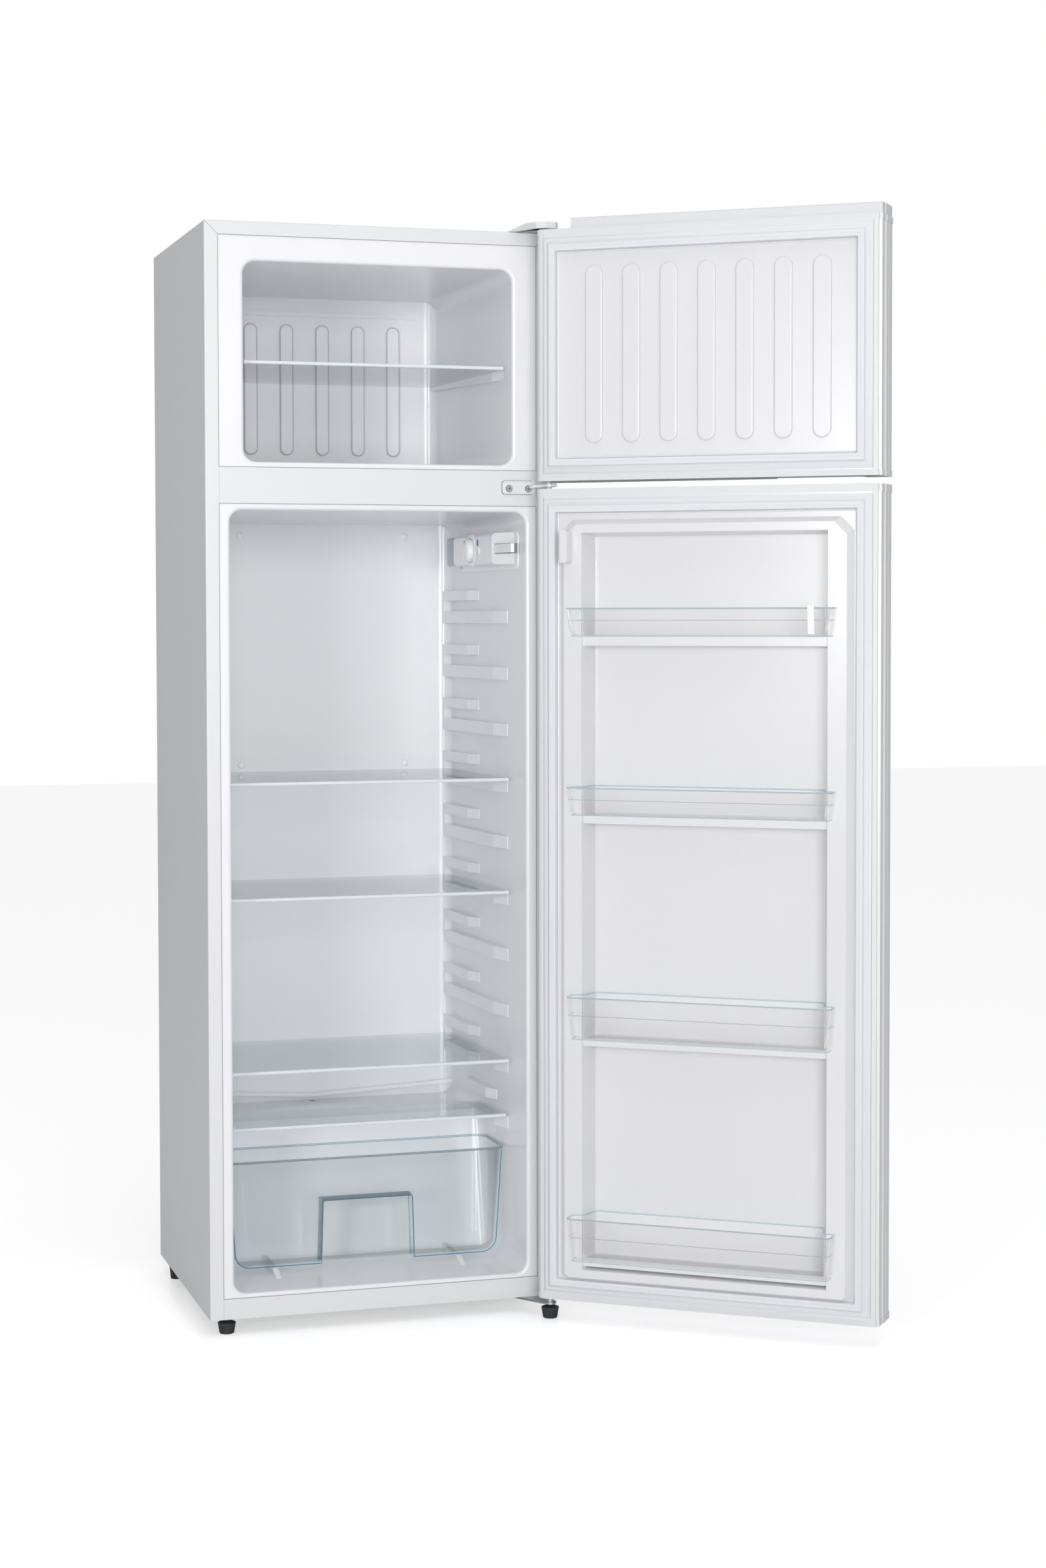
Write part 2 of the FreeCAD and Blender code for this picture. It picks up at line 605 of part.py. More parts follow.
def build_machine():
    inside = HALF - 2 * STEEL
    tray = box(-inside, inside, MACHINE_Y + 8, PANEL_Y, TRAY_Z, TRAY_Z + 1.5)
    lips = [box(-inside, inside, y, y + 1.5, TRAY_Z, TRAY_Z + 12)
            for y in (MACHINE_Y + 8, PANEL_Y - 1.5)]
    middle_y = (MACHINE_Y + PANEL_Y) / 2 + 4
    mounts = [(COMPRESSOR_X + sx * 72, middle_y + sy * 52) for sx in (-1, 1) for sy in (-1, 1)]
    tray = fuse([tray] + lips)
    add("base_plate", cut(tray, [cylinder("Z", 4.0, x, y, TRAY_Z - 2, TRAY_Z + 3)
                                 for x, y in mounts]))
    grommet_top = TRAY_Z + 13.5
    grommets = []
    for x, y in mounts:
        body = cylinder("Z", 9.0, x, y, TRAY_Z + 1.5, grommet_top)
        neck = cylinder("Z", 4.0, x, y, TRAY_Z - 1, TRAY_Z + 2)
        grommets.append(fuse([body, neck]))
    add("compressor_grommets", Part.Compound(grommets))

    plate = box(COMPRESSOR_X - 84, COMPRESSOR_X + 84, middle_y - 63, middle_y + 63,
                grommet_top, grommet_top + 3)
    plate = round_edges(plate, 12.0, "Z")
    can_z = grommet_top + 3
    can = cylinder("Z", COMPRESSOR_RADIUS, COMPRESSOR_X, middle_y, can_z - 1, can_z + 140)
    can = can.makeFillet(34.0, [e for e in can.Edges if e.CenterOfMass.z > can_z + 139])
    seam = cylinder("Z", COMPRESSOR_RADIUS + 3, COMPRESSOR_X, middle_y, can_z + 62, can_z + 70)
    add("compressor", fuse([plate, can, seam]))

    side_x = COMPRESSOR_X + COMPRESSOR_RADIUS + 3.5
    cover = box(side_x, side_x + 42, middle_y - 26, middle_y + 26, can_z + 22, can_z + 88)
    cover = round_edges(cover, 6.0, "X")
    gland = cylinder("Y", 7.0, side_x + 21, can_z + 40, middle_y + 25, middle_y + 40)
    bore = cylinder("Y", 4.2, side_x + 21, can_z + 40, middle_y + 10, middle_y + 41)
    add("terminal_cover", fuse([cover, gland]).cut(bore))

    tray_z = can_z + 146
    drip = box(DRAIN_X - 55, DRAIN_X + 150, BACK_Y - 74, BACK_Y + 36, tray_z, tray_z + 24)
    drip = round_edges(drip, 14.0, "Z")
    well = box(DRAIN_X - 53, DRAIN_X + 148, BACK_Y - 72, BACK_Y + 34, tray_z + 2, tray_z + 30)
    well = round_edges(well, 12.0, "Z")
    add("drip_tray", drip.cut(well))

    drain_y = BACK_Y - 14
    pipe = cylinder("Z", 8.0, DRAIN_X, drain_y, tray_z + 12, STEP_TOP - PLASTIC)
    bore = cylinder("Z", 6.0, DRAIN_X, drain_y, tray_z, STEP_TOP)
    add("drain_tube", pipe.cut(bore))
    NODES["compartment_panel"] = NODES["compartment_panel"].cut(
        cylinder("Z", 8.0, DRAIN_X, drain_y, MACHINE_TOP - 2, MACHINE_TOP + 4))
    return middle_y, can_z


def build_condenser():
    """Wire-and-tube condenser hung on the back of the cabinet."""
    y = DEPTH + CONDENSER_STAND_OFF
    reach = HALF - 48
    bend = CONDENSER_PITCH / 2
    low = MACHINE_TOP + 50
    points = []
    for n in range(CONDENSER_PASSES):
        z = low + CONDENSER_PITCH * n
        ends = (-reach, reach) if n % 2 == 0 else (reach, -reach)
        points.append(vec(ends[0], y, z))
        points.append(vec(ends[1], y, z))
    tube = tube_along(points, TUBE_RADIUS, bend - 0.5)
    wires = []
    z0, z1 = low - 12, low + CONDENSER_PITCH * (CONDENSER_PASSES - 1) + 12
    count = int((reach - bend) * 2 / WIRE_PITCH)
    for n in range(count + 1):
        x = (n - count / 2) * WIRE_PITCH
        for side in (-1, 1):
            wires.append(cylinder("Z", WIRE_RADIUS, x, y + side * (TUBE_RADIUS + WIRE_RADIUS),
                                  z0, z1))
    clips = []
    for x in (-reach + 40, reach - 40):
        for n in (1, CONDENSER_PASSES - 2):
            z = low + CONDENSER_PITCH * n
            block = box(x - 9, x + 9, DEPTH, y, z - 7, z + 7)
            clips.append(cut(block, [tube] + wires))
    add("condenser", Part.Compound([tube] + wires + clips))
    return points[0]


def build_tubes(middle_y, can_z, condenser_end):
    """Discharge, drier with its two ends, and suction lines of the compressor."""
    back = COMPRESSOR_X - COMPRESSOR_RADIUS
    start_x = condenser_end.x
    drier_x = -HALF + 60
    y_out = DEPTH + CONDENSER_STAND_OFF
    discharge = tube_along([
        vec(back + 4, middle_y + 10, can_z + 40), vec(back - 50, middle_y + 10, can_z + 40),
        vec(back - 50, middle_y + 10, can_z + 90), vec(start_x - 16, middle_y + 10, can_z + 90),
        vec(start_x - 16, y_out, can_z + 90), vec(start_x - 16, y_out, condenser_end.z),
        vec(start_x - 0.2, y_out, condenser_end.z)], TUBE_RADIUS, 7.0)
    suction = tube_along([
        vec(back + 10, middle_y - 20, can_z + 55), vec(back - 90, middle_y - 20, can_z + 55),
        vec(back - 90, middle_y - 20, MACHINE_TOP - 0.2)], 3.2, 14.0)
    discharge = discharge.cut(NODES["compressor"])
    suction = suction.cut(NODES["compressor"])
    drier_y = middle_y + 30
    drier = cylinder("Z", 9.0, drier_x + 40, drier_y, can_z + 20, can_z + 110)
    ends = [cylinder("Z", 3.0, drier_x + 40, drier_y, can_z - 2, can_z + 21),
            cylinder("Z", 1.4, drier_x + 40, drier_y, can_z + 109, MACHINE_TOP - 0.2)]
    add("refrigerant_tubes", Part.Compound([discharge, suction, fuse([drier] + ends)]))


# ================================================================ shelves and crisper

def shelf_glass(wall, z, front, back):
    gap = SHELF_SIDE_GAP
    plan = [(-wall(front) + gap, front), (wall(front) - gap, front),
            (wall(back) - gap, back), (-wall(back) + gap, back)]
    return prism(plan, "Z", z, z + GLASS)


def shelf_trim(wall, z, front):
    """Edge strip that grips the front of the glass."""
    half = wall(front) - SHELF_SIDE_GAP
    low = z - (TRIM_HEIGHT - GLASS) / 2
    strip = box(-half, half, front - 3, front + TRIM_DEPTH - 3, low, low + TRIM_HEIGHT)
    strip = round_edges(strip, TRIM_HEIGHT * 0.34, "X", lambda p: p.y < front)
    return strip.cut(box(-HALF, HALF, front, front + TRIM_DEPTH, z, z + GLASS))


def build_shelves():
    places = [("upper", UPPER_LEVEL), ("middle", MIDDLE_LEVEL), ("lower", LOWER_LEVEL)]
    for name, number in places:
        z = level(number)
        add(name + "_shelf_glass", shelf_glass(fridge_wall, z, SHELF_FRONT, BACK_Y - 16))
        add(name + "_shelf_trim", shelf_trim(fridge_wall, z, SHELF_FRONT))
    z = level(0)
    add("crisper_cover_glass", shelf_glass(fridge_wall, z, COVER_FRONT, COVER_BACK))
    add("crisper_cover_trim", shelf_trim(fridge_wall, z, COVER_FRONT))
    z = FREEZER_SHELF_Z
    add("freezer_shelf_glass", shelf_glass(freezer_wall, z, FREEZER_SHELF_FRONT, BACK_Y - 12))
    add("freezer_shelf_trim", shelf_trim(freezer_wall, z, FREEZER_SHELF_FRONT))


def drafted_block(half_top, half_bottom, front, back_top, back_bottom, z0, z1, radius):
    """Block whose sides and back lean in towards its floor, with rounded upright edges."""
    section = prism([(front, z1), (back_top, z1), (back_bottom, z0), (front + 3, z0)],
                    "X", -HALF, HALF)
    elevation = prism([(-half_top, z1), (half_top, z1), (half_bottom, z0), (-half_bottom, z0)],
                      "Y", 0, DEPTH)
    solid = section.common(elevation)
    upright = [e for e in solid.Edges if abs(e.Vertexes[0].Z - e.Vertexes[-1].Z) > (z1 - z0) / 2]
    floor = [e for e in solid.Edges
             if max(v.Z for v in e.Vertexes) < z0 + 0.1]
    return solid.makeFillet(radius, upright + floor)


def build_drawer():
    wall = DRAWER_WALL
    half_top = fridge_wall(DRAWER_FRONT) - DRAWER_SIDE_GAP
    half_bottom = half_top - 11
    back_top = STEP_FRONT_BOTTOM + STEP_SLOPE * (DRAWER_TOP - FRIDGE_BOTTOM) - DRAWER_STEP_GAP
    back_bottom = STEP_FRONT_BOTTOM - DRAWER_STEP_GAP
    z0, z1 = DRAWER_BOTTOM, DRAWER_TOP
    outer = drafted_block(half_top, half_bottom, DRAWER_FRONT, back_top, back_bottom, z0, z1, 22)
    inner = drafted_block(half_top - wall, half_bottom - wall, DRAWER_FRONT + wall,
                          back_top - wall, back_bottom - wall, z0 + wall, z1 + 0.01, 20)
    grip_line = [(-GRIP_HALF - 3, z0 - 5), (-GRIP_HALF, GRIP_TOP), (GRIP_HALF, GRIP_TOP),
                 (GRIP_HALF + 3, z0 - 5)]
    pocket = prism(grip_line, "Y", 0, DRAWER_FRONT + GRIP_DEPTH)
    shell_line = [(-GRIP_HALF - 3 - wall, z0), (-GRIP_HALF - wall, GRIP_TOP + wall),
                  (GRIP_HALF + wall, GRIP_TOP + wall), (GRIP_HALF + 3 + wall, z0)]
    pocket_shell = prism(shell_line, "Y", 0, DRAWER_FRONT + GRIP_DEPTH + wall)
    pocket_shell = pocket_shell.common(outer)
    lip = box(-half_top - 3, half_top + 3, DRAWER_FRONT - 2, back_top + 3, z1 - 3, z1)
    lip = round_edges(lip, 16, "Z").cut(inner)
    body = fuse([outer.cut(inner), pocket_shell, lip])
    add("crisper_drawer", body.cut(pocket))


# ================================================================ lamp and thermostat

CONTROL_Z = CENTRE_RAIL_Z - 64.0
CONTROL_HALF = 25.0
CONTROL_FACE = FRIDGE_HALF - 29.0
KNOB_Y = 215.0
KNOB_RADIUS = 19.0
SWITCH_PIVOT = (FRIDGE_HALF - 21.5, 86.0)
BULB_X = FRIDGE_HALF - 22.0
WALL_GAP = 0.3


def against_wall(y):
    return fridge_wall(y) - WALL_GAP


def build_controls():
    z0, z1 = CONTROL_Z - CONTROL_HALF, CONTROL_Z + CONTROL_HALF
    face = CONTROL_FACE
    body_line = [(against_wall(46), 46), (face, 94), (face, 318), (against_wall(318), 318)]
    body = prism(body_line, "Z", z0, z1)
    body = round_edges(body, 6.0, "Y", lambda p: p.x < face + 2)
    room_line = [(against_wall(60), 60), (face + 2, 97), (face + 2, 315), (against_wall(315), 315)]
    room = prism(room_line, "Z", z0 + 2, z1 - 2)
    plate_line = [(against_wall(34), 34), (against_wall(34) - 2, 34),
                  (against_wall(344) - 2, 318), (against_wall(318), 318)]
    plate = prism(plate_line, "Z", CONTROL_Z - 34, CONTROL_Z + 28)
    corners = [e for e in plate.Edges if e.Length < 4 and e.CenterOfMass.y < 40]
    plate = plate.makeFillet(14.0, corners) if len(corners) == 2 else plate
    window = box(face - 5, HALF, 26, 92, CONTROL_Z - 8, CONTROL_Z + 8)
    shaft_hole = cylinder("X", 6.0, KNOB_Y, CONTROL_Z, face - 3, face + 4)
    housing = cut(fuse([body, plate]), [room, window, shaft_hole])
    add("control_housing", housing)

    lens_line = [(face - 1, 318.5), (face - 1, 364), (against_wall(364), 364),
                 (against_wall(318.5), 318.5)]
    lens = prism(lens_line, "Z", z0 + 1, z1 - 1)
    lens = round_edges(lens, 5.0, "Y", lambda p: p.x < face + 2)
    lens = round_edges(lens, 4.0, "Z", lambda p: p.x < face + 2 and p.y > 350)
    hollow = box(face + 0.8, FRIDGE_HALF - 15.5, 317, 361, z0 + 3, z1 - 3)
    add("lamp_lens", lens.cut(hollow))
    glass = cylinder("Y", 5.5, BULB_X, CONTROL_Z, 330, 352)
    tip = Part.makeSphere(5.5, vec(BULB_X, 352, CONTROL_Z))
    base = cylinder("Y", 4.0, BULB_X, CONTROL_Z, 319, 330)
    add("lamp_bulb", fuse([glass, tip, base]))

    thermostat = box(face + 3.5, FRIDGE_HALF - 11.0, KNOB_Y - 20, KNOB_Y + 22, CONTROL_Z - 18, CONTROL_Z + 18)
    socket = cylinder("X", 3.0 + PIN_CLEARANCE, KNOB_Y, CONTROL_Z, face + 3, face + 13)
    add("thermostat", thermostat.cut(socket))

    dial = cylinder("X", KNOB_RADIUS, KNOB_Y, CONTROL_Z, face - 12, face - 0.6)
    dial = dial.makeFillet(1.5, [e for e in dial.Edges if e.CenterOfMass.x < face - 11.9])
    shaft = cylinder("X", 3.0, KNOB_Y, CONTROL_Z, face - 1, face + 12)
    grip = box(face - 13, face - 9, KNOB_Y - 1, KNOB_Y + 1, CONTROL_Z + 8, CONTROL_Z + 18)
    add("control_knob", fuse([dial, shaft]).cut(grip))

    px, py = SWITCH_PIVOT
    tip_x = FRIDGE_HALF - 16.5
    lever = prism([(px - 4.5, py + 2), (tip_x, 29), (tip_x + 5, 27), (tip_x + 6.5, 31),
                   (px + 5, py + 3)],
                  "Z", CONTROL_Z - 7, CONTROL_Z + 7)
    boss = cylinder("Z", 4.5, px, py, CONTROL_Z - 7, CONTROL_Z + 7)
    add("lamp_switch", fuse([lever, boss]))


# ================================================================ doors

def door_outline(inset):
    """Plan of a door body: the stepped sides that the steel skin is rolled to.

    inset moves the line inwards by the thickness of the skin. A negative one moves it
    outwards, as the caps do. The free side reaches a little past the cabinet's own side."""
    out = HALF - inset
    edge = HALF - DOOR_EDGE_IN
    inner = DOOR_INNER_Y
    outer = DOOR_OUTER_Y + inset
    right = [
        (edge, inner), (out - 6.5, inner - 1), (out - 6.5, inner - 5), (out - 2, inner - 6.5),
        (out - 2, inner - 23), (out - 3.2, inner - 24), (out - 3.2, inner - 25.2),
        (out, inner - 27), (out, inner - 41), (out - 1.2, inner - 42), (out - 1.2, inner - 43.2),
        (out, inner - 45), (out, outer + 6), (out - 1.8, outer + 1.8), (out - 6, outer),
    ]
    left = [(-x - FREE_EDGE_OUT, y) for x, y in reversed(right[1:])] + [(-edge, inner)]
    return right + left


def swing(shape):
    turned = shape.copy()
    turned.rotate(vec(PIN_X, PIN_Y, 0), AXES["Z"], REST_ANGLE)
    return turned


def pin_bore(z0, z1, radius=BORE_RADIUS):
    return cylinder("Z", radius, PIN_X, PIN_Y, z0, z1)


def grip_notch(z0, z1):
    """Finger room in the outer edge of a cap, at the free end of the door."""
    notch = box(-HALF + 38, -HALF + 178, DOOR_OUTER_Y - 1, DOOR_OUTER_Y + 24, z0, z1)
    return round_edges(notch, 8.0, "Z", lambda p: p.y > DOOR_OUTER_Y + 20)


def gasket(z0, z1):
    """Magnetic seal: a base strip, a bellows neck and the magnet pocket on it."""
    edge = HALF - GASKET_INSET
    inner = DOOR_INNER_Y
    seal = -GASKET_SEAL_GAP
    base = ring(-edge, edge, z0, z1, GASKET_WIDTH, inner, inner + 3)
    neck = ring(-edge + 13, edge - 13, z0 + 13, z1 - 13, 6, inner + 3, inner + 6)
    head = ring(-edge + 11, edge - 11, z0 + 11, z1 - 11, 10.5, inner + 6, seal)
    return fuse([base, neck, head])


def door_body(prefix, z0, z1):
    """Skin and foam between two cap planes."""
    skin = prism(door_outline(0), "Z", z0, z1)
    core = prism(door_outline(STEEL), "Z", z0 - 1, z1 + 1)
    open_back = box(-HALF + DOOR_EDGE_IN + 4, HALF - DOOR_EDGE_IN - 4, DOOR_INNER_Y - 5, 5,
                    z0 - 1, z1 + 1)
    bores = [pin_bore(z0 - 1, z0 + 12, BORE_RADIUS + 3), pin_bore(z1 - 12, z1 + 1, BORE_RADIUS + 3)]
    add(prefix + "_skin", cut(skin, [core, open_back]))
    foam = prism(door_outline(STEEL), "Z", z0, z1)
    front = box(-HALF, HALF, DOOR_INNER_Y - PLASTIC, 5, z0 - 1, z1 + 1)
    return cut(foam, [front] + bores)


def build_freezer_door():
    low, high = FREEZER_DOOR_Z
    z0, z1 = low + CAP_HEIGHT, high - 12
    foam = door_body("freezer_door", z0, z1)
    add("freezer_door_foam", foam)

    edge = HALF - DOOR_EDGE_IN - 0.3
    inner = DOOR_INNER_Y
    plate = box(-edge, edge, inner - PLASTIC, inner, z0, z1)
    flutes = [pill(59.8 * n - 3, z0 + 48, z1 - 50, 14, inner - 0.5, inner + 4.5)
              for n in range(-3, 4)]
    panel = fuse([plate] + flutes)
    crowns = [e for e in panel.Edges if e.CenterOfMass.y > inner + 4.4]
    add("freezer_door_liner", panel.makeFillet(2.5, crowns))
    add("freezer_door_gasket", gasket(z0 + 2, z1 - 4))

    outline = door_outline(-CAP_PROUD)
    bottom = prism(outline, "Z", low, z0)
    add("freezer_door_bottom_cap", cut(bottom, [pin_bore(low - 1, z0 + 1),
                                                grip_notch(low - 1, z0 + 1)]))
    top = prism(outline, "Z", z1, high - 3)
    strip_top = TOP + STRIP_RISE
    strip = box(-HALF, HALF - STRIP_START, DOOR_OUTER_Y, DOOR_INNER_Y - 8, z1, strip_top)
    strip = strip.common(prism(door_outline(0), "Z", z1, strip_top))
    strip = round_edges(strip, 3.0, "X", lambda p: p.z > strip_top - 1)
    step = box(HALF - STRIP_START - 1, HALF - STRIP_START + 16, DOOR_OUTER_Y + 3,
               DOOR_OUTER_Y + 17, z1, strip_top - 6)
    add("freezer_door_top_cap", fuse([top, strip, step]).cut(pin_bore(z1 - 1, TOP + 1)))


def dyke_outline(rise):
    """The raised frame of the fridge door's liner, seen from the front.

    rise is 0 at the frame's crown and 1 where its outer wall meets the panel."""
    out = HALF - DYKE_OUTER + 10 * rise
    top = DYKE_TOP_Z + 8 * rise
    bottom = DYKE_BOTTOM_Z - 4 * rise
    slant = 20.0
    return [(-out, bottom + 6), (-out, top - slant), (-out + slant, top), (out - slant, top),
            (out, top - slant), (out, bottom + 6), (out - 6, bottom), (-out + 6, bottom)]


def loft(lower, upper, y0, y1):
    """Flat-sided block between two outlines with the same number of corners."""
    def wire(points, y):
        corners = [vec(x, y, z) for x, z in points]
        return Part.makePolygon(corners + corners[:1])
    solid = Part.makeLoft([wire(lower, y0), wire(upper, y1)], True, True)
    if solid.Volume < 0:
        solid.reverse()
    return solid


def dyke_form(grow):
    """Solid under the liner's inner face (grow = 0) or under its foam side (PLASTIC)."""
    crown = -0.5 - grow
    edge = HALF - DOOR_EDGE_IN - 0.3
    low, high = FRIDGE_DOOR_Z
    z0, z1 = low + CAP_HEIGHT, high - 12
    slab = box(-edge, edge, DOOR_OUTER_Y + 5, DOOR_INNER_Y - grow, z0, z1)

    def shrink(points):
        middle = (DYKE_TOP_Z + DYKE_BOTTOM_Z) / 2
        return [(x - math.copysign(grow, x), z - math.copysign(grow, z - middle))
                for x, z in points]

    raised = loft(shrink(dyke_outline(1)), shrink(dyke_outline(0)), DOOR_INNER_Y - 1, crown)
    inner_x = HALF - DYKE_INNER + grow
    top = DYKE_TOP_Z - DYKE_END + grow
    bottom = DYKE_BOTTOM_Z + DYKE_END - grow
    floor_x = inner_x - DYKE_DRAFT

    def rectangle(x, low_z, high_z):
        return [(-x, low_z), (-x, high_z), (x, high_z), (x, low_z)]

    recess = loft(rectangle(floor_x, bottom + 6, top - 6), rectangle(inner_x + 1, bottom, top),
                  RECESS_Y - grow, 5)
    body = fuse([slab, raised]).cut(recess)
    ledges = []
    for floor_z in BIN_FLOORS:
        high_z = floor_z - 0.4 - grow
        low_z = floor_z - LEDGE_HEIGHT + grow
        ledges.append(prism([(RECESS_Y - 5, low_z - 4), (RECESS_Y - 5, high_z), (-6 - grow, high_z),
                             (-6 - grow, low_z)], "X", -inner_x, inner_x))
    return fuse([body] + ledges)


def build_fridge_door():
    low, high = FRIDGE_DOOR_Z
    z0, z1 = low + CAP_HEIGHT, high - 12
    foam = door_body("fridge_door", z0, z1)
    under = dyke_form(PLASTIC)
    room = box(-HALF, HALF, RECESS_Y - 10, 6, z0 - 1, z1 + 1)
    shell_zone = prism(door_outline(STEEL), "Z", z0, z1)
    raised = under.common(box(-HALF, HALF, DOOR_INNER_Y - PLASTIC, 5, z0, z1))
    carved = room.cut(under)
    foam = fuse([foam.cut(carved), raised]).common(
        fuse([shell_zone, box(-HALF + 30, HALF - 30, DOOR_INNER_Y - 2, 5, z0, z1)]))
    add("fridge_door_foam", foam)

    liner = dyke_form(0).cut(under)
    liner = liner.cut(box(-HALF, HALF, DOOR_OUTER_Y, RECESS_Y - PLASTIC - 0.01, z0 - 1, z1 + 1))
    boss_line = [(HALF - 63, 24), (HALF - 51, 24), (HALF - 49, 18), (HALF - 49, DOOR_INNER_Y),
                 (HALF - 63, DOOR_INNER_Y)]
    boss = prism(boss_line, "Z", CONTROL_Z - 26, CONTROL_Z + 24)
    boss = round_edges(boss, 4.0, "Y", lambda p: True)
    boss = boss.cut(under)
    add("fridge_door_liner", fuse([liner, boss]))
    add("fridge_door_gasket", gasket(z0 + 4, z1 - 3))

    outline = door_outline(-CAP_PROUD)
    bottom = prism(outline, "Z", low, z0)
    add("fridge_door_bottom_cap", bottom.cut(pin_bore(low - 1, z0 + 1, BORE_RADIUS + 1)))
    top = prism(outline, "Z", z1, high)
    add("fridge_door_top_cap", cut(top, [pin_bore(z1 - 1, high + 1), grip_notch(z1 + 2, high + 1)]))


def bin_shape(floor_z, height):
    """Open door bin: a deep part between the dykes and a wider front part before them."""
    wall = BIN_WALL
    rim = HALF - 63.0
    foot = rim - 6
    deep = HALF - DYKE_INNER - BIN_SIDE_GAP
    deep_back = deep - DYKE_DRAFT
    back = RECESS_Y + 1.5
    z1 = floor_z + height

    def form(inset, top):
        front = prism([(-rim + inset, top), (rim - inset, top), (foot - inset, floor_z + inset),
                       (-foot + inset, floor_z + inset)], "Y", 1 + inset, BIN_FRONT - inset)
        slope = prism([(-50, top), (BIN_FRONT - inset, top),
                       (BIN_FRONT - inset - 5, floor_z + inset), (-50, floor_z + inset)],
                      "X", -HALF, HALF)
        front = front.common(slope)
        low = [e for e in front.Edges if e.CenterOfMass.z < floor_z + inset + 1
               and abs(e.CenterOfMass.x) > foot - 3 and e.Length > 20]
        front = front.makeFillet(9 - inset, low)
        corners = [e for e in front.Edges if e.CenterOfMass.y > BIN_FRONT - 10
                   and abs(e.Vertexes[0].Z - e.Vertexes[-1].Z) > height / 2]
        front = front.makeFillet(10 - inset, corners)
        rear = prism([(-deep_back + inset, back + inset), (-deep + inset, 1 + inset + 0.5),
                      (deep - inset, 1 + inset + 0.5), (deep_back - inset, back + inset)],
                     "Z", floor_z + inset, top)
        return fuse([front, rear])

    tray = form(0, z1).cut(form(wall, z1 + 5))
    return tray


def build_bins():
    for number, (floor_z, height) in enumerate(zip(BIN_FLOORS, BIN_HEIGHTS), start=1):
        add("door_bin_%d" % number, bin_shape(floor_z, height))
    floor_z = BIN_FLOORS[-1]
    top = floor_z + BIN_HEIGHTS[-1]
    x = -HALF + 95.0
    out = BIN_FRONT + 0.4
    front = prism([(out, top + 2), (out + 2, top + 2), (out - 2.2, floor_z + 4),
                   (out - 4.4, floor_z + 4)], "X", x - 5, x + 5)
    back = prism([(out - 3.0, top + 2), (out - 5.0, top + 2), (out - 7.4, top - 18),
                  (out - 5.4, top - 18)], "X", x - 5, x + 5)
    bridge = box(x - 5, x + 5, out - 5, out + 2, top + 0.4, top + 2.4)
    add("bottle_clip", fuse([front, back, bridge]))


DOOR_NODES = [
    "freezer_door_skin", "freezer_door_foam", "freezer_door_liner", "freezer_door_gasket",
    "freezer_door_bottom_cap", "freezer_door_top_cap", "fridge_door_skin", "fridge_door_foam",
    "fridge_door_liner", "fridge_door_gasket", "fridge_door_bottom_cap", "fridge_door_top_cap",
    "door_bin_1", "door_bin_2", "door_bin_3", "door_bin_4", "bottle_clip",
]


def main():
    add("outer_shell", outer_shell())
    add("centre_rail", centre_rail())
    add("bottom_rail", bottom_rail())
    add("compartment_panel", compartment_panel())
    inside = HALF - STEEL
    add("rear_panel", box(-inside, inside, PANEL_Y, DEPTH - STEEL, MACHINE_TOP, TOP - STEEL))
    add("freezer_evaporator", evaporator(-165, 165, FREEZER_BOTTOM + 26, FREEZER_TOP - 28, 5))
    add("fridge_evaporator", evaporator(-165, 165, FRIDGE_TOP - 431, FRIDGE_TOP - 71, 6))
    build_hinges()
    build_feet()
    build_liners()
    add("insulation", build_insulation())
    for name in ("outer_shell", "centre_rail", "bottom_rail", "compartment_panel"):
        tools = list(NODES["hinge_screws"].Solids)
        if name == "compartment_panel":
            tools.append(foot_socket(LEFT_FOOT[0], LEFT_FOOT[1], 6.0))
        NODES[name] = cut(NODES[name], tools)
    middle_y, can_z = build_machine()
    build_tubes(middle_y, can_z, build_condenser())
    build_shelves()
    build_drawer()
    build_controls()
    build_freezer_door()
    build_fridge_door()
    build_bins()
    for name in DOOR_NODES:
        NODES[name] = swing(NODES[name])

    os.makedirs("parts", exist_ok=True)
    for name, shape in sorted(NODES.items()):
        shape.exportStep(os.path.join("parts", name + ".step"))
        print(name, "solids", len(shape.Solids), "volume", round(shape.Volume), shape.isValid())
    print(len(NODES), "nodes")


main()
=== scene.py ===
"""Looks of a free-standing top freezer refrigerator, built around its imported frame."""
import json
import logging
import math
from dataclasses import dataclass
from enum import Enum
from typing import Any, Optional, Sequence

import bmesh
import bpy
import numpy as np
from mathutils import Euler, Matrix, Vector


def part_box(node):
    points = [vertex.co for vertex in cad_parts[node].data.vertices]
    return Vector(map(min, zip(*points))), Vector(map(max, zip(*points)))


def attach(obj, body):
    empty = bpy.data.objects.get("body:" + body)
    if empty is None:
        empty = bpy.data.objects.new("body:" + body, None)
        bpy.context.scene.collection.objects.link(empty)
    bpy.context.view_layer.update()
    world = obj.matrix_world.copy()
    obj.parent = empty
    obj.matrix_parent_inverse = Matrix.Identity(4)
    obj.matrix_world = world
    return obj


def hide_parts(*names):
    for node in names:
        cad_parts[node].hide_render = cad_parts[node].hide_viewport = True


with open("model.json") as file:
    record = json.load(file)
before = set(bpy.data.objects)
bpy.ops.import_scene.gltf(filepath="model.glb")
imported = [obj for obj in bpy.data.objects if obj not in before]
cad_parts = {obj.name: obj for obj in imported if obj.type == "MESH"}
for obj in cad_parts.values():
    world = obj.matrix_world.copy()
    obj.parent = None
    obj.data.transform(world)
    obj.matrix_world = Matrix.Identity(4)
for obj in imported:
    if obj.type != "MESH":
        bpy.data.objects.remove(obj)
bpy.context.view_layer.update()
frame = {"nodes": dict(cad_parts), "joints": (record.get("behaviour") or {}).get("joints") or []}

log = logging.getLogger("refrigerator")

MM = 0.001


# ---------------------------------------------------------------- colour and nodes

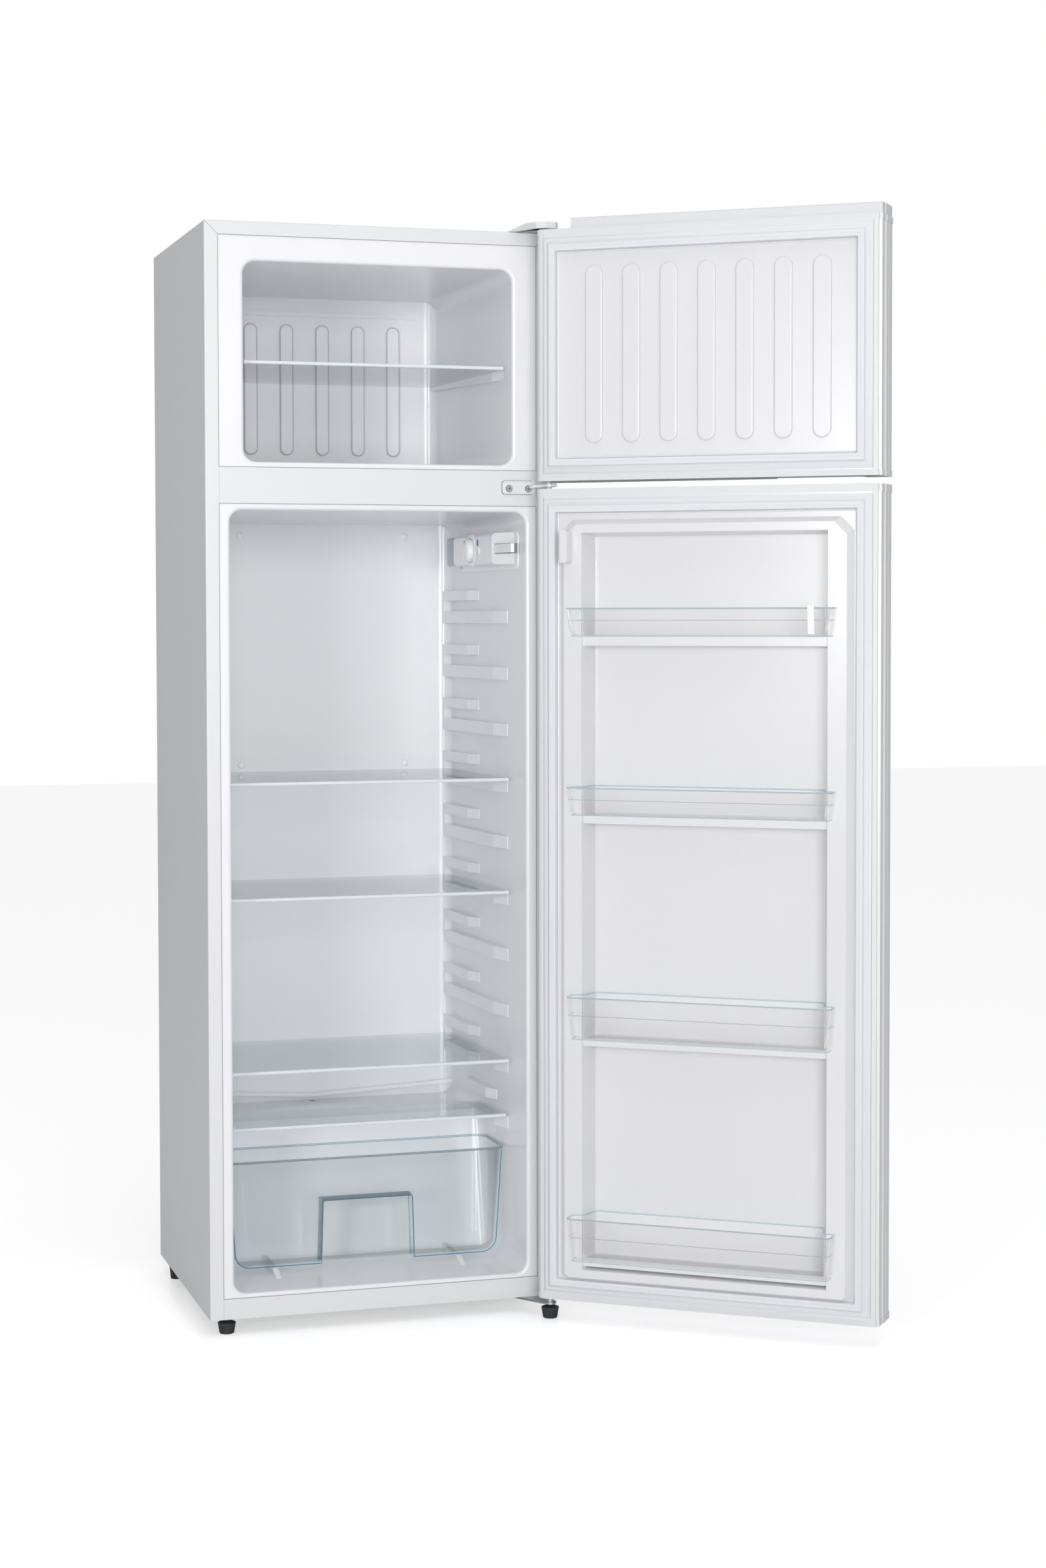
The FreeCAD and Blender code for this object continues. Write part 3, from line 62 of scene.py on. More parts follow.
def srgb(code: str, alpha: float = 1.0) -> tuple[float, float, float, float]:
    """Turn an sRGB hex code into linear RGBA.

    Args:
        code: six hex digits, such as "E6E7EC".
        alpha: opacity to carry along.

    Returns:
        Linear red, green, blue and alpha.
    """
    values = [int(code[i:i + 2], 16) / 255 for i in (0, 2, 4)]
    linear = [v / 12.92 if v <= 0.04045 else ((v + 0.055) / 1.055) ** 2.4 for v in values]
    return linear[0], linear[1], linear[2], alpha


def add_node(tree: bpy.types.NodeTree, kind: str, settings: Optional[dict[str, Any]] = None,
             inputs: Optional[dict[Any, Any]] = None) -> bpy.types.Node:
    """Add one node, set it up and link it.

    Args:
        tree: node tree that receives the node.
        kind: Blender's node type name.
        settings: attributes of the node.
        inputs: socket name or number to a value, or to an output socket to link from.

    Returns:
        The new node.
    """
    node = tree.nodes.new(kind)
    for key, value in (settings or {}).items():
        setattr(node, key, value)
    for key, value in (inputs or {}).items():
        if isinstance(value, bpy.types.NodeSocket):
            tree.links.new(value, node.inputs[key])
        else:
            node.inputs[key].default_value = value
    return node


# ---------------------------------------------------------------- finishes

class Pattern(Enum):
    """Fine surface patterns that a finish can carry."""

    NONE = "none"
    ORANGE_PEEL = "orange peel"
    GRAINED = "spark-eroded grain"
    DRAWN = "drawn lines"
    CELLS = "foam cells"


@dataclass(frozen=True)
class Finish:
    """An opaque finish with fine relief and a slow drift in tone.

    Attributes:
        name: the material and how its surface was made.
        tone: sRGB hex colour.
        roughness: micro-roughness of the surface.
        metallic: 1 for a bare metal.
        ior: index of refraction, left alone on metals.
        coat: weight of a clear top layer.
        pattern: which relief the surface has.
        grain_mm: size of one grain of the relief.
        relief_mm: height of the relief.
        drift: how far the tone and gloss wander, from 0 to 1.
        glow: share of light that the translucent body scatters back.
    """

    name: str
    tone: str
    roughness: float
    metallic: float = 0.0
    ior: float = 1.5
    coat: float = 0.0
    pattern: Pattern = Pattern.ORANGE_PEEL
    grain_mm: float = 3.0
    relief_mm: float = 0.02
    drift: float = 0.03
    glow: float = 0.0

    def build(self) -> bpy.types.Material:
        """Make the node material, or hand back the one already made."""
        found = bpy.data.materials.get(self.name)
        if found is not None:
            return found
        material = bpy.data.materials.new(self.name)
        material.use_nodes = True
        tree = material.node_tree
        tree.nodes.clear()
        place = add_node(tree, "ShaderNodeTexCoord").outputs["Object"]
        slow = add_node(tree, "ShaderNodeTexNoise", inputs={
            "Vector": place, "Scale": 5.0, "Detail": 3.0, "Roughness": 0.5})
        base = srgb(self.tone)
        dark = tuple(c * (1 - self.drift) for c in base[:3]) + (1.0,)
        tint = add_node(tree, "ShaderNodeValToRGB", inputs={"Fac": slow.outputs["Fac"]})
        tint.color_ramp.elements[0].position = 0.3
        tint.color_ramp.elements[0].color = dark
        tint.color_ramp.elements[1].position = 0.7
        tint.color_ramp.elements[1].color = base
        gloss = add_node(tree, "ShaderNodeMapRange", inputs={
            "Value": slow.outputs["Fac"], "To Min": self.roughness * (1 - 2 * self.drift),
            "To Max": min(1.0, self.roughness * (1 + 2 * self.drift))})
        inputs: dict[Any, Any] = {
            "Base Color": tint.outputs["Color"], "Roughness": gloss.outputs["Result"],
            "Metallic": self.metallic, "Coat Weight": self.coat, "Coat Roughness": 0.08}
        if self.metallic < 0.5:
            inputs["IOR"] = self.ior
        if self.glow:
            inputs["Subsurface Weight"] = self.glow
            inputs["Subsurface Radius"] = (0.004, 0.004, 0.005)
            inputs["Subsurface Scale"] = 1.0
        if self.pattern is not Pattern.NONE:
            inputs["Normal"] = self._relief(tree, place)
        shader = add_node(tree, "ShaderNodeBsdfPrincipled", inputs=inputs)
        add_node(tree, "ShaderNodeOutputMaterial", inputs={"Surface": shader.outputs["BSDF"]})
        return material

    def _relief(self, tree: bpy.types.NodeTree,
                place: bpy.types.NodeSocket) -> bpy.types.NodeSocket:
        """Bump from the finish's own pattern.

        Args:
            tree: the material's tree.
            place: object coordinates.

        Returns:
            The normal socket.
        """
        per_metre = 1000.0 / self.grain_mm
        if self.pattern is Pattern.DRAWN:
            lines = add_node(tree, "ShaderNodeMapping", inputs={
                "Vector": place, "Scale": (per_metre, per_metre, per_metre * 0.02)})
            height = add_node(tree, "ShaderNodeTexNoise", inputs={
                "Vector": lines.outputs["Vector"], "Scale": 1.0, "Detail": 2.0}).outputs["Fac"]
        elif self.pattern is Pattern.CELLS:
            height = add_node(tree, "ShaderNodeTexVoronoi", inputs={
                "Vector": place, "Scale": per_metre}).outputs["Distance"]
        elif self.pattern is Pattern.GRAINED:
            height = add_node(tree, "ShaderNodeTexNoise", inputs={
                "Vector": place, "Scale": per_metre, "Detail": 4.0,
                "Roughness": 0.7}).outputs["Fac"]
        else:
            height = add_node(tree, "ShaderNodeTexNoise", inputs={
                "Vector": place, "Scale": per_metre, "Detail": 1.0}).outputs["Fac"]
        return add_node(tree, "ShaderNodeBump", inputs={
            "Height": height, "Distance": self.relief_mm * MM, "Strength": 0.8}).outputs["Normal"]


@dataclass(frozen=True)
class ClearFinish:
    """A see-through finish: light passes, and the surface adds gloss and a little haze.

    Attributes:
        name: the material and how it was made.
        tint: sRGB hex colour of light that passes once.
        body: sRGB hex colour of the haze.
        haze: share of light that the body scatters.
        roughness: micro-roughness of the gloss.
        ior: index of refraction that sets how gloss grows at a slant.
    """

    name: str
    tint: str
    body: str
    haze: float
    roughness: float
    ior: float = 1.5

    def build(self) -> bpy.types.Material:
        """Make the node material, or hand back the one already made."""
        found = bpy.data.materials.get(self.name)
        if found is not None:
            return found
        material = bpy.data.materials.new(self.name)
        material.use_nodes = True
        tree = material.node_tree
        tree.nodes.clear()
        place = add_node(tree, "ShaderNodeTexCoord").outputs["Object"]
        slow = add_node(tree, "ShaderNodeTexNoise", inputs={
            "Vector": place, "Scale": 9.0, "Detail": 2.0})
        haze = add_node(tree, "ShaderNodeMapRange", inputs={
            "Value": slow.outputs["Fac"], "To Min": self.haze * 0.85, "To Max": self.haze * 1.15})
        clear = add_node(tree, "ShaderNodeBsdfTransparent", inputs={"Color": srgb(self.tint)})
        near = add_node(tree, "ShaderNodeBsdfDiffuse", inputs={"Color": srgb(self.body)})
        through = add_node(tree, "ShaderNodeBsdfTranslucent", inputs={"Color": srgb(self.body)})
        body = add_node(tree, "ShaderNodeMixShader", inputs={
            0: 0.5, 1: near.outputs["BSDF"], 2: through.outputs["BSDF"]})
        sheet = add_node(tree, "ShaderNodeMixShader", inputs={
            0: haze.outputs["Result"], 1: clear.outputs["BSDF"], 2: body.outputs["Shader"]})
        gloss = add_node(tree, "ShaderNodeBsdfGlossy", inputs={"Roughness": self.roughness})
        mixed = add_node(tree, "ShaderNodeMixShader", inputs={
            0: self._mirror_share(tree), 1: sheet.outputs["Shader"], 2: gloss.outputs["BSDF"]})
        path = add_node(tree, "ShaderNodeLightPath")
        lit = add_node(tree, "ShaderNodeMixShader", inputs={
            0: path.outputs["Is Shadow Ray"], 1: mixed.outputs["Shader"],
            2: clear.outputs["BSDF"]})
        add_node(tree, "ShaderNodeOutputMaterial", inputs={"Surface": lit.outputs["Shader"]})
        return material

    def _mirror_share(self, tree: bpy.types.NodeTree) -> bpy.types.NodeSocket:
        """Share of light that the surface mirrors.

        It is base + (1 - base) * f^5, where f is 0 face on and 1 at a grazing slant, and base
        is ((ior - 1) / (ior + 1))^2.

        Args:
            tree: the material's tree.

        Returns:
            The share's socket.
        """
        base = ((self.ior - 1) / (self.ior + 1)) ** 2
        slant = add_node(tree, "ShaderNodeLayerWeight", inputs={"Blend": 0.5})
        power = add_node(tree, "ShaderNodeMath", {"operation": "POWER"}, {
            0: slant.outputs["Facing"], 1: 5.0})
        share = add_node(tree, "ShaderNodeMath", {"operation": "MULTIPLY_ADD", "use_clamp": True}, {
            0: power.outputs["Value"], 1: 1 - base, 2: base})
        return share.outputs["Value"]


# Powder coat on rolled steel: white, softly glossy, with a barely visible orange peel.
POWDER_COAT = Finish("powder_coated_steel", "E2E3E4", 0.34, coat=0.25, grain_mm=2.2,
                     relief_mm=0.012, drift=0.012)
# The same coat on the small hinge bracket, thicker and glossier.
ENAMEL = Finish("white_enamelled_bracket", "E9EAEC", 0.22, coat=0.5, grain_mm=4.0,
                relief_mm=0.01, drift=0.01)
# High impact polystyrene drawn over a mould: cool white, glossy, gently wavy.
FORMED_STYRENE = Finish("vacuum_formed_polystyrene", "F0F0F3", 0.2, ior=1.59, grain_mm=14.0,
                        relief_mm=0.03, drift=0.015)
# The door liners are drawn from a slightly greyer sheet.
DOOR_STYRENE = Finish("vacuum_formed_door_sheet", "E3E3E5", 0.2, ior=1.59, grain_mm=14.0,
                      relief_mm=0.03, drift=0.012)
# Moulded ABS caps: a touch greyer and duller than the paint.
MOULDED_ABS = Finish("moulded_abs", "DEDFE2", 0.36, ior=1.53, pattern=Pattern.GRAINED,
                     grain_mm=0.8, relief_mm=0.008, drift=0.015)
WHITE_ABS = Finish("moulded_white_abs", "F6F7F9", 0.24, ior=1.53, grain_mm=3.0,
                   relief_mm=0.006, drift=0.01)
# Soft extruded vinyl: matte white with a slight translucence.
VINYL = Finish("extruded_soft_vinyl", "E3E4E8", 0.5, ior=1.53, grain_mm=1.2, relief_mm=0.01,
               drift=0.02)
SATIN_TRIM = Finish("satin_edge_strip", "E2E7EC", 0.28, ior=1.5, grain_mm=3.0, relief_mm=0.005,
                    drift=0.02)
CHARCOAL = Finish("moulded_charcoal_polypropylene", "2E2F33", 0.48, pattern=Pattern.GRAINED,
                  grain_mm=0.9, relief_mm=0.03, drift=0.08)
BLACK_PLASTIC = Finish("moulded_black_polypropylene", "1E1F21", 0.5, pattern=Pattern.GRAINED,
                       grain_mm=0.9, relief_mm=0.03, drift=0.08)
GALVANISED = Finish("galvanised_sheet", "B4B8BB", 0.38, metallic=1.0, pattern=Pattern.CELLS,
                    grain_mm=9.0, relief_mm=0.01, drift=0.12)
ZINC_SCREW = Finish("zinc_plated_screw", "C4C4C6", 0.28, metallic=1.0, pattern=Pattern.DRAWN,
                    grain_mm=0.5, relief_mm=0.01, drift=0.08)
BLACK_ENAMEL = Finish("dipped_black_enamel", "151517", 0.3, coat=0.3, grain_mm=2.0,
                      relief_mm=0.02, drift=0.1)
COPPER = Finish("drawn_copper", "C07F5C", 0.3, metallic=1.0, pattern=Pattern.DRAWN, grain_mm=0.8,
                relief_mm=0.01, drift=0.15)
ALUMINIUM = Finish("rolled_aluminium", "D2D4D6", 0.35, metallic=1.0, pattern=Pattern.DRAWN,
                   grain_mm=0.7, relief_mm=0.01, drift=0.06)
RUBBER = Finish("moulded_rubber", "19191A", 0.75, pattern=Pattern.GRAINED, grain_mm=1.0,
                relief_mm=0.03, drift=0.08)
FOAM = Finish("cut_polyurethane_foam", "DDCFA0", 0.9, pattern=Pattern.CELLS, grain_mm=1.5,
              relief_mm=0.3, drift=0.1)
BLUE_INK = Finish("printed_blue_mark", "3F7FB8", 0.4, pattern=Pattern.NONE, drift=0.05)
GREY_INK = Finish("printed_grey_mark", "8F959C", 0.45, pattern=Pattern.NONE, drift=0.05)
# Painted shade: the same sheet in a greyer tone, laid as thin rims round the formed flutes so that
# their outlines show as shade lines.
FLUTE_OUTLINE_SHADE = Finish("flute_outline_painted_shade", "C9CAD0", 0.3, pattern=Pattern.NONE, drift=0.04)
# Painted shade: grey beads laid where two panels meet, standing in for the shade inside the narrow
# gap between them.
GAP_PAINTED_SHADE = Finish("panel_gap_painted_shade", "8C8E92", 0.7, pattern=Pattern.NONE, drift=0.05)
# Painted shade: dark grey round the middle hinge plate, under the screw heads and in their cross
# recesses.
RECESS_PAINTED_SHADE = Finish("hinge_recess_painted_shade", "6C7076", 0.6, pattern=Pattern.NONE, drift=0.05)
# Toughened float glass, 4 mm: clear with a cool cast.
SHELF_GLASS = ClearFinish("float_glass", "F8FBFB", "E8EEEF", 0.03, 0.03, 1.45)
# General purpose polystyrene: clear and very glossy, the bins with a whiter haze.
CLEAR_DRAWER = ClearFinish("clear_polystyrene_drawer", "FDFEFE", "F2F4F6", 0.03, 0.04, 1.24)
CLEAR_BIN = ClearFinish("clear_polystyrene_bin", "FFFFFF", "FFFFFF", 0.1, 0.05, 1.1)
# Where the eye looks along the sheet, the same plastic is deep enough to show its colour.
TEAL_EDGE = ClearFinish("drawer_edge_polystyrene", "C8E8F1", "74BDD6", 0.5, 0.08, 1.3)
PALE_EDGE = ClearFinish("drawer_rim_polystyrene", "EFF5F8", "D5E2EA", 0.3, 0.08, 1.3)
BLUE_EDGE = ClearFinish("bin_edge_polystyrene", "F3F9FA", "DCEAEE", 0.35, 0.08, 1.15)
# Painted highlight: bright white for thin beads at the bins' rounded corners.
CORNER_PAINTED_HIGHLIGHT = ClearFinish("bin_corner_painted_highlight", "FFFFFF", "FFFFFF", 0.45, 0.05, 1.5)
FROSTED = ClearFinish("frosted_acrylic", "EEF1F4", "E4E9EE", 0.6, 0.35, 1.49)
BULB_GLASS = ClearFinish("blown_glass", "F6F6F2", "E8E8E0", 0.15, 0.03, 1.5)


# ---------------------------------------------------------------- surfaces

@dataclass
class Surface:
    """A surface sampled on a grid of two parameters.

    Attributes:
        points: array of shape (u, v, 3), in millimetres.
        wrap_u: the last row joins the first.
        wrap_v: the last column joins the first.
        cap: close the first and last rows with flat lids.
    """

    points: np.ndarray
    wrap_u: bool = False
    wrap_v: bool = False
    cap: bool = False

    def faces(self, offset: int) -> list[list[int]]:
        """Quads between neighbouring samples, numbered from offset."""
        nu, nv = self.points.shape[:2]
        index = np.arange(nu * nv).reshape(nu, nv)
        here = index if self.wrap_u else index[:-1]
        over = np.roll(index, -1, axis=0) if self.wrap_u else index[1:]
        if self.wrap_v:
            quads = np.stack([here, over, np.roll(over, -1, 1), np.roll(here, -1, 1)], -1)
        else:
            quads = np.stack([here[:, :-1], over[:, :-1], over[:, 1:], here[:, 1:]], -1)
        result = (quads.reshape(-1, 4) + offset).tolist()
        if self.cap:
            result.append((index[0] + offset).tolist())
            result.append((index[-1][::-1] + offset).tolist())
        return result


def bend_corners(corners: np.ndarray, radius: float, steps: int, closed: bool) -> np.ndarray:
    """Round the corners of a path.

    Each corner becomes a circular arc that touches both of its runs: the arc's point at
    angle t is the start point swept about a centre on the corner's bisector.

    Args:
        corners: array (n, 3) of corner points.
        radius: bend radius.
        steps: points on each arc.
        closed: whether the path closes on itself.

    Returns:
        Array (m, 3) of points.
    """
    before = np.roll(corners, 1, axis=0)
    after = np.roll(corners, -1, axis=0)
    to_before = before - corners
    to_after = after - corners
    length_before = np.linalg.norm(to_before, axis=1, keepdims=True)
    length_after = np.linalg.norm(to_after, axis=1, keepdims=True)
    to_before = to_before / np.maximum(length_before, 1e-9)
    to_after = to_after / np.maximum(length_after, 1e-9)
    cosine = np.clip((to_before * to_after).sum(1, keepdims=True), -0.9999, 0.9999)
    half = np.arccos(cosine) / 2
    back = radius / np.tan(half)
    back = np.minimum(back, 0.48 * np.minimum(length_before, length_after))
    bow = back * np.tan(half)
    bisector = to_before + to_after
    bisector = bisector / np.maximum(np.linalg.norm(bisector, axis=1, keepdims=True), 1e-9)
    centre = corners + bisector * (bow / np.sin(half))
    start = corners + to_before * back - centre
    end = corners + to_after * back - centre
    sweep = math.pi - 2 * half
    t = np.linspace(0, 1, steps)[None, :, None]
    weight_a = np.sin((1 - t) * sweep[:, None]) / np.sin(sweep)[:, None]
    weight_b = np.sin(t * sweep[:, None]) / np.sin(sweep)[:, None]
    arcs = centre[:, None] + start[:, None] * weight_a + end[:, None] * weight_b
    if closed:
        return arcs.reshape(-1, 3)
    inner = arcs[1:-1].reshape(-1, 3)
    return np.concatenate([corners[:1], inner, corners[-1:]])


def carry(profile: np.ndarray, path: np.ndarray, normal: Sequence[float],
          closed: bool) -> Surface:
    """Carry a closed profile along a flat path.

    The point for profile (a, b) at a path point P is P + a*S + b*N, where N is the normal
    of the path's plane and S is square to the path in that plane, stretched at a corner so
    that the profile keeps its width.

    Args:
        profile: array (k, 2).
        path: array (m, 3).
        normal: unit normal of the plane that holds the path.
        closed: whether the path closes on itself.

    Returns:
        The swept surface.
    """
    up = np.asarray(normal, float)
    ahead = np.roll(path, -1, 0) - path
    behind = path - np.roll(path, 1, 0)
    if not closed:
        ahead[-1] = behind[-1]
        behind[0] = ahead[0]
    ahead = ahead / np.maximum(np.linalg.norm(ahead, axis=1, keepdims=True), 1e-9)
    behind = behind / np.maximum(np.linalg.norm(behind, axis=1, keepdims=True), 1e-9)
    along = ahead + behind
    along = along / np.maximum(np.linalg.norm(along, axis=1, keepdims=True), 1e-9)
    stretch = 1 / np.maximum((along * ahead).sum(1, keepdims=True), 0.3)
    side = np.cross(along, up) * stretch
    points = (path[:, None] + profile[None, :, 0:1] * side[:, None]
              + profile[None, :, 1:2] * up[None, None])
    return Surface(points, wrap_u=closed, wrap_v=True, cap=not closed)


def circle(radius: float, sides: int) -> np.ndarray:
    """Points of a circle: (r cos t, r sin t) for even steps of t."""
    t = np.arange(sides) * (2 * math.pi / sides)
    return np.stack([np.cos(t), np.sin(t)], 1) * radius


def bead(corners: Sequence[Sequence[float]], radius: float, bend: float,
         normal: Sequence[float], closed: bool = False, sides: int = 8) -> Surface:
    """A round bead along a flat path with rounded corners.

    Args:
        corners: the path's corner points.
        radius: radius of the bead.
        bend: bend radius at the corners.
        normal: normal of the plane of the path.
        closed: whether it closes on itself.
        sides: facets round the bead.

    Returns:
        The swept surface.
    """
    path = bend_corners(np.array(corners, float), bend, 7, closed)
    return carry(circle(radius, sides), path, normal, closed)


def lathe(profile: Sequence[Sequence[float]], centre: Sequence[float], axis: str,
          steps: int = 40, flute: float = 0.0, flutes: int = 0) -> Surface:
    """Turn a profile about an axis.

    The point for profile (r, h) at angle t is centre + r(cos t, sin t) across the axis and h
    along it; r is lessened by flute * (1 + cos(flutes * t)) / 2 where flutes are asked for.

    Args:
        profile: (radius, height) pairs from one end to the other.
        centre: point on the axis where h is 0.
        axis: "X", "Y" or "Z".
        steps: samples round the axis.
        flute: depth of the flutes.
        flutes: number of flutes.

    Returns:
        The turned surface, closed with lids.
    """
    t = np.arange(steps) * (2 * math.pi / steps)
    line = np.array(profile, float)
    radius = line[:, 0:1] - flute * (1 + np.cos(flutes * t))[None] / 2 * (flutes > 0)
    radius = np.maximum(radius, 0.01)
    across_a, across_b = radius * np.cos(t), radius * np.sin(t)
    along = np.repeat(line[:, 1:2], steps, axis=1)
    order = {"X": (along, across_a, across_b), "Y": (across_b, along, across_a),
             "Z": (across_a, across_b, along)}[axis]
    points = np.stack(order, -1) + np.array(centre, float)
    return Surface(points, wrap_v=True, cap=True)


def plate(outline: Sequence[Sequence[float]], bend: float, axis: str, low: float, high: float,
          edge: float = 0.4) -> Surface:
    """A flat plate with rounded corners and softened rims.

    Four copies of the outline are stacked: shrunk at the lower face, full just above it,
    full just below the upper face and shrunk at the upper face.

    Args:
        outline: corners in the two axes across the plate, in X, Y, Z order.
        bend: corner radius.
        axis: axis that the plate is thin along.
        low: lower face.
        high: upper face.
        edge: size of the softened rim.

    Returns:
        The closed surface.
    """
    flat = np.array([[a, b, 0.0] for a, b in outline], float)
    line = bend_corners(flat, bend, 6, True)[:, :2]
    middle = line.mean(0)
    reach = np.abs(line - middle).max(0)
    small = middle + (line - middle) * (1 - edge / np.maximum(reach, edge * 2))
    levels = [(small, low), (line, low + edge), (line, high - edge), (small, high)]
    rows = []
    for shape, station in levels:
        third = np.full(len(shape), station)
        a, b = shape[:, 0], shape[:, 1]
        rows.append(np.stack({"X": (third, a, b), "Y": (a, third, b), "Z": (a, b, third)}[axis],
                             -1))
    return Surface(np.stack(rows), wrap_v=True, cap=True)


@dataclass(frozen=True)
class Hinged:
    """Where a door rests, against where it is when closed.

    Attributes:
        pin: X and Y of the hinge line, in millimetres.
        angle: degrees that the door stands open at rest.
    """

    pin: tuple[float, float] = (0.0, 0.0)
    angle: float = 0.0

    def to_rest(self, points: np.ndarray) -> np.ndarray:
        """Turn points about the pin: p' = pin + R(angle) (p - pin)."""
        turn = math.radians(self.angle)
        c, s = math.cos(turn), math.sin(turn)
        x, y = points[..., 0] - self.pin[0], points[..., 1] - self.pin[1]
        turned = [self.pin[0] + c * x - s * y, self.pin[1] + s * x + c * y, points[..., 2]]
        return np.stack(turned, -1)


STILL = Hinged()


def make_piece(name: str, surfaces: Sequence[Surface], finish: Finish | ClearFinish, body: str,
               hinged: Hinged = STILL, smooth: float = 40.0) -> bpy.types.Object:
    """Put surfaces into one mesh object and tie it to the frame.

    Args:
        name: name of the piece.
        surfaces: surfaces in millimetres.
        finish: its finish.
        body: frame body that it rides on.
        hinged: turn from the closed place to the resting one.
        smooth: edges flatter than this many degrees are shaded smooth.

    Returns:
        The new object.
    """
    vertices: list[np.ndarray] = []
    faces: list[list[int]] = []
    count = 0
    for surface in surfaces:
        flat = surface.points.reshape(-1, 3)
        vertices.append(flat)
        faces.extend(surface.faces(count))
        count += len(flat)
    points = hinged.to_rest(np.concatenate(vertices)) * MM
    mesh = bpy.data.meshes.new(name)
    mesh.from_pydata(np.zeros((len(points), 3)).tolist(), [], faces)
    mesh.vertices.foreach_set("co", points.astype(np.float32).ravel())
    mesh.update()
    piece = bpy.data.objects.new(name, mesh)
    bpy.context.scene.collection.objects.link(piece)
    tidy_normals(mesh)
    mesh.shade_smooth()
    mesh.set_sharp_from_angle(angle=math.radians(smooth))
    mesh.materials.append(finish.build())
    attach(piece, body)
    log.info("%s: %d faces", name, len(mesh.polygons))
    return piece


def tidy_normals(mesh: bpy.types.Mesh) -> None:
    """Point every face of a closed mesh outwards."""
    work = bmesh.new()
    work.from_mesh(mesh)
    bmesh.ops.recalc_face_normals(work, faces=work.faces)
    work.to_mesh(mesh)
    work.free()


def dress(nodes: Sequence[str], finish: Finish | ClearFinish) -> None:
    """Give frame nodes a finish on every one of their material slots."""
    material = finish.build()
    for name in nodes:
        mesh = frame["nodes"][name].data
        if not mesh.materials:
            mesh.materials.append(material)
        for index in range(len(mesh.materials)):
            mesh.materials[index] = material


def box_mm(node: str) -> tuple[np.ndarray, np.ndarray]:
    """Lowest and highest corner of a frame node, in millimetres."""
    low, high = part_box(node)
    return np.array(low) * 1000, np.array(high) * 1000


def find_hinge(joint: str) -> Hinged:
    """Read a door's pin and resting angle from its joint."""
    found = next(j for j in frame["joints"] if j["name"] == joint)
    x, y = found["pos_m"][0] * 1000, found["pos_m"][1] * 1000
    return Hinged((x, y), -found["range_deg"][0])


# ---------------------------------------------------------------- sub-assemblies

AHEAD = (0.0, 1.0, 0.0)
UP = (0.0, 0.0, 1.0)


def upright_ring(x: Sequence[float], y: float, z: Sequence[float]) -> list[tuple[float, ...]]:
    """Corners of an upright rectangle, taken round from its lower left.

    Args:
        x: left and right edge.
        y: the plane that it lies in.
        z: lower and upper edge.

    Returns:
        Four points in millimetres.
    """
    return [(x[0], y, z[0]), (x[1], y, z[0]), (x[1], y, z[1]), (x[0], y, z[1])]


@dataclass
class Cabinet:
    """Outer shell, rails, rear sheet and liners.

    Attributes:
        back_y: inner face of the compartments' back wall.
        dimple_x: how far from the middle the wall fixings sit.
        dimple_z: heights of the wall fixings.
        flange: width of the shell's front flange.
        flute_pitch: spacing of the flutes on the freezer's back wall.
        flute_z: lower and upper end of the flutes.
        flute_half: half width of a flute.
        flute_rise: how far a flute's face stands ahead of the wall.
        gap_y: depth of the panel gaps' centre line behind the front plane.
    """

    back_y: float = 405.0
    dimple_x: float = 141.0
    dimple_z: tuple[float, ...] = (1238.0, 854.0, 828.0)
    flange: float = 21.0
    flute_pitch: float = 61.0
    flute_z: tuple[float, float] = (1374.0, 1590.0)
    flute_half: float = 10.5
    flute_rise: float = 4.1
    gap_y: float = 0.15

    def mesh(self) -> None:
        """Panel gaps and flute rims in painted shade, and wall fixings."""
        _, high = box_mm("outer_shell")
        _, rail_bottom = box_mm("bottom_rail")
        rail_low, rail_high = box_mm("centre_rail")
        side, top = high[0] - self.flange, high[2] - self.flange
        # The gap beads are painted shade: grey lines round both openings and along the top mitres.
        gaps = [bead(upright_ring((-side, side), self.gap_y, span), 0.45, 1.0, AHEAD, True, 6)
                for span in ((rail_bottom[2], rail_low[2]), (rail_high[2], top))]
        for way in (-1, 1):
            mitre = [(way * (high[0] - 0.4), self.gap_y, high[2] - 0.4),
                     (way * side, self.gap_y, top)]
            gaps.append(bead(mitre, 0.3, 1.0, AHEAD, False, 6))
        make_piece("panel_gap_shade_lines", gaps, GAP_PAINTED_SHADE, "cabinet")
        half, face = self.flute_half, self.back_y - self.flute_rise
        centres = [number * self.flute_pitch for number in range(-2, 3)]
        # Rims round each flute in the greyer tone: painted shade lines that outline the flutes.
        rims = [bead(upright_ring((x - half, x + half), face, self.flute_z), 0.9, half, AHEAD, True)
                for x in centres]
        make_piece("freezer_flute_shade_rims", rims, FLUTE_OUTLINE_SHADE, "cabinet")
        cap = [(6.0, 0.6), (6.0, -0.6), (5.2, -1.6), (3.0, -2.4), (0.5, -2.6)]
        plugs = [lathe(cap, (side * self.dimple_x, self.back_y, z), "Y", 24)
                 for z in self.dimple_z for side in (-1, 1)]
        make_piece("wall_fixings", plugs, WHITE_ABS, "cabinet")

    def dress(self) -> None:
        """Paint, styrene, galvanised sheet and foam."""
        dress(["outer_shell", "centre_rail", "bottom_rail"], POWDER_COAT)
        dress(["freezer_liner", "fridge_liner"], FORMED_STYRENE)
        dress(["rear_panel", "compartment_panel", "base_plate"], GALVANISED)
        dress(["insulation"], FOAM)


@dataclass
class Machine:
    """Everything behind and below the cabinet that makes cold."""

    def dress(self) -> None:
        """Enamelled steel, copper, aluminium and black mouldings."""
        dress(["compressor", "condenser"], BLACK_ENAMEL)
        dress(["compressor_grommets"], RUBBER)
        dress(["terminal_cover", "drip_tray", "drain_tube"], BLACK_PLASTIC)
        dress(["refrigerant_tubes"], COPPER)
        dress(["freezer_evaporator", "fridge_evaporator"], ALUMINIUM)


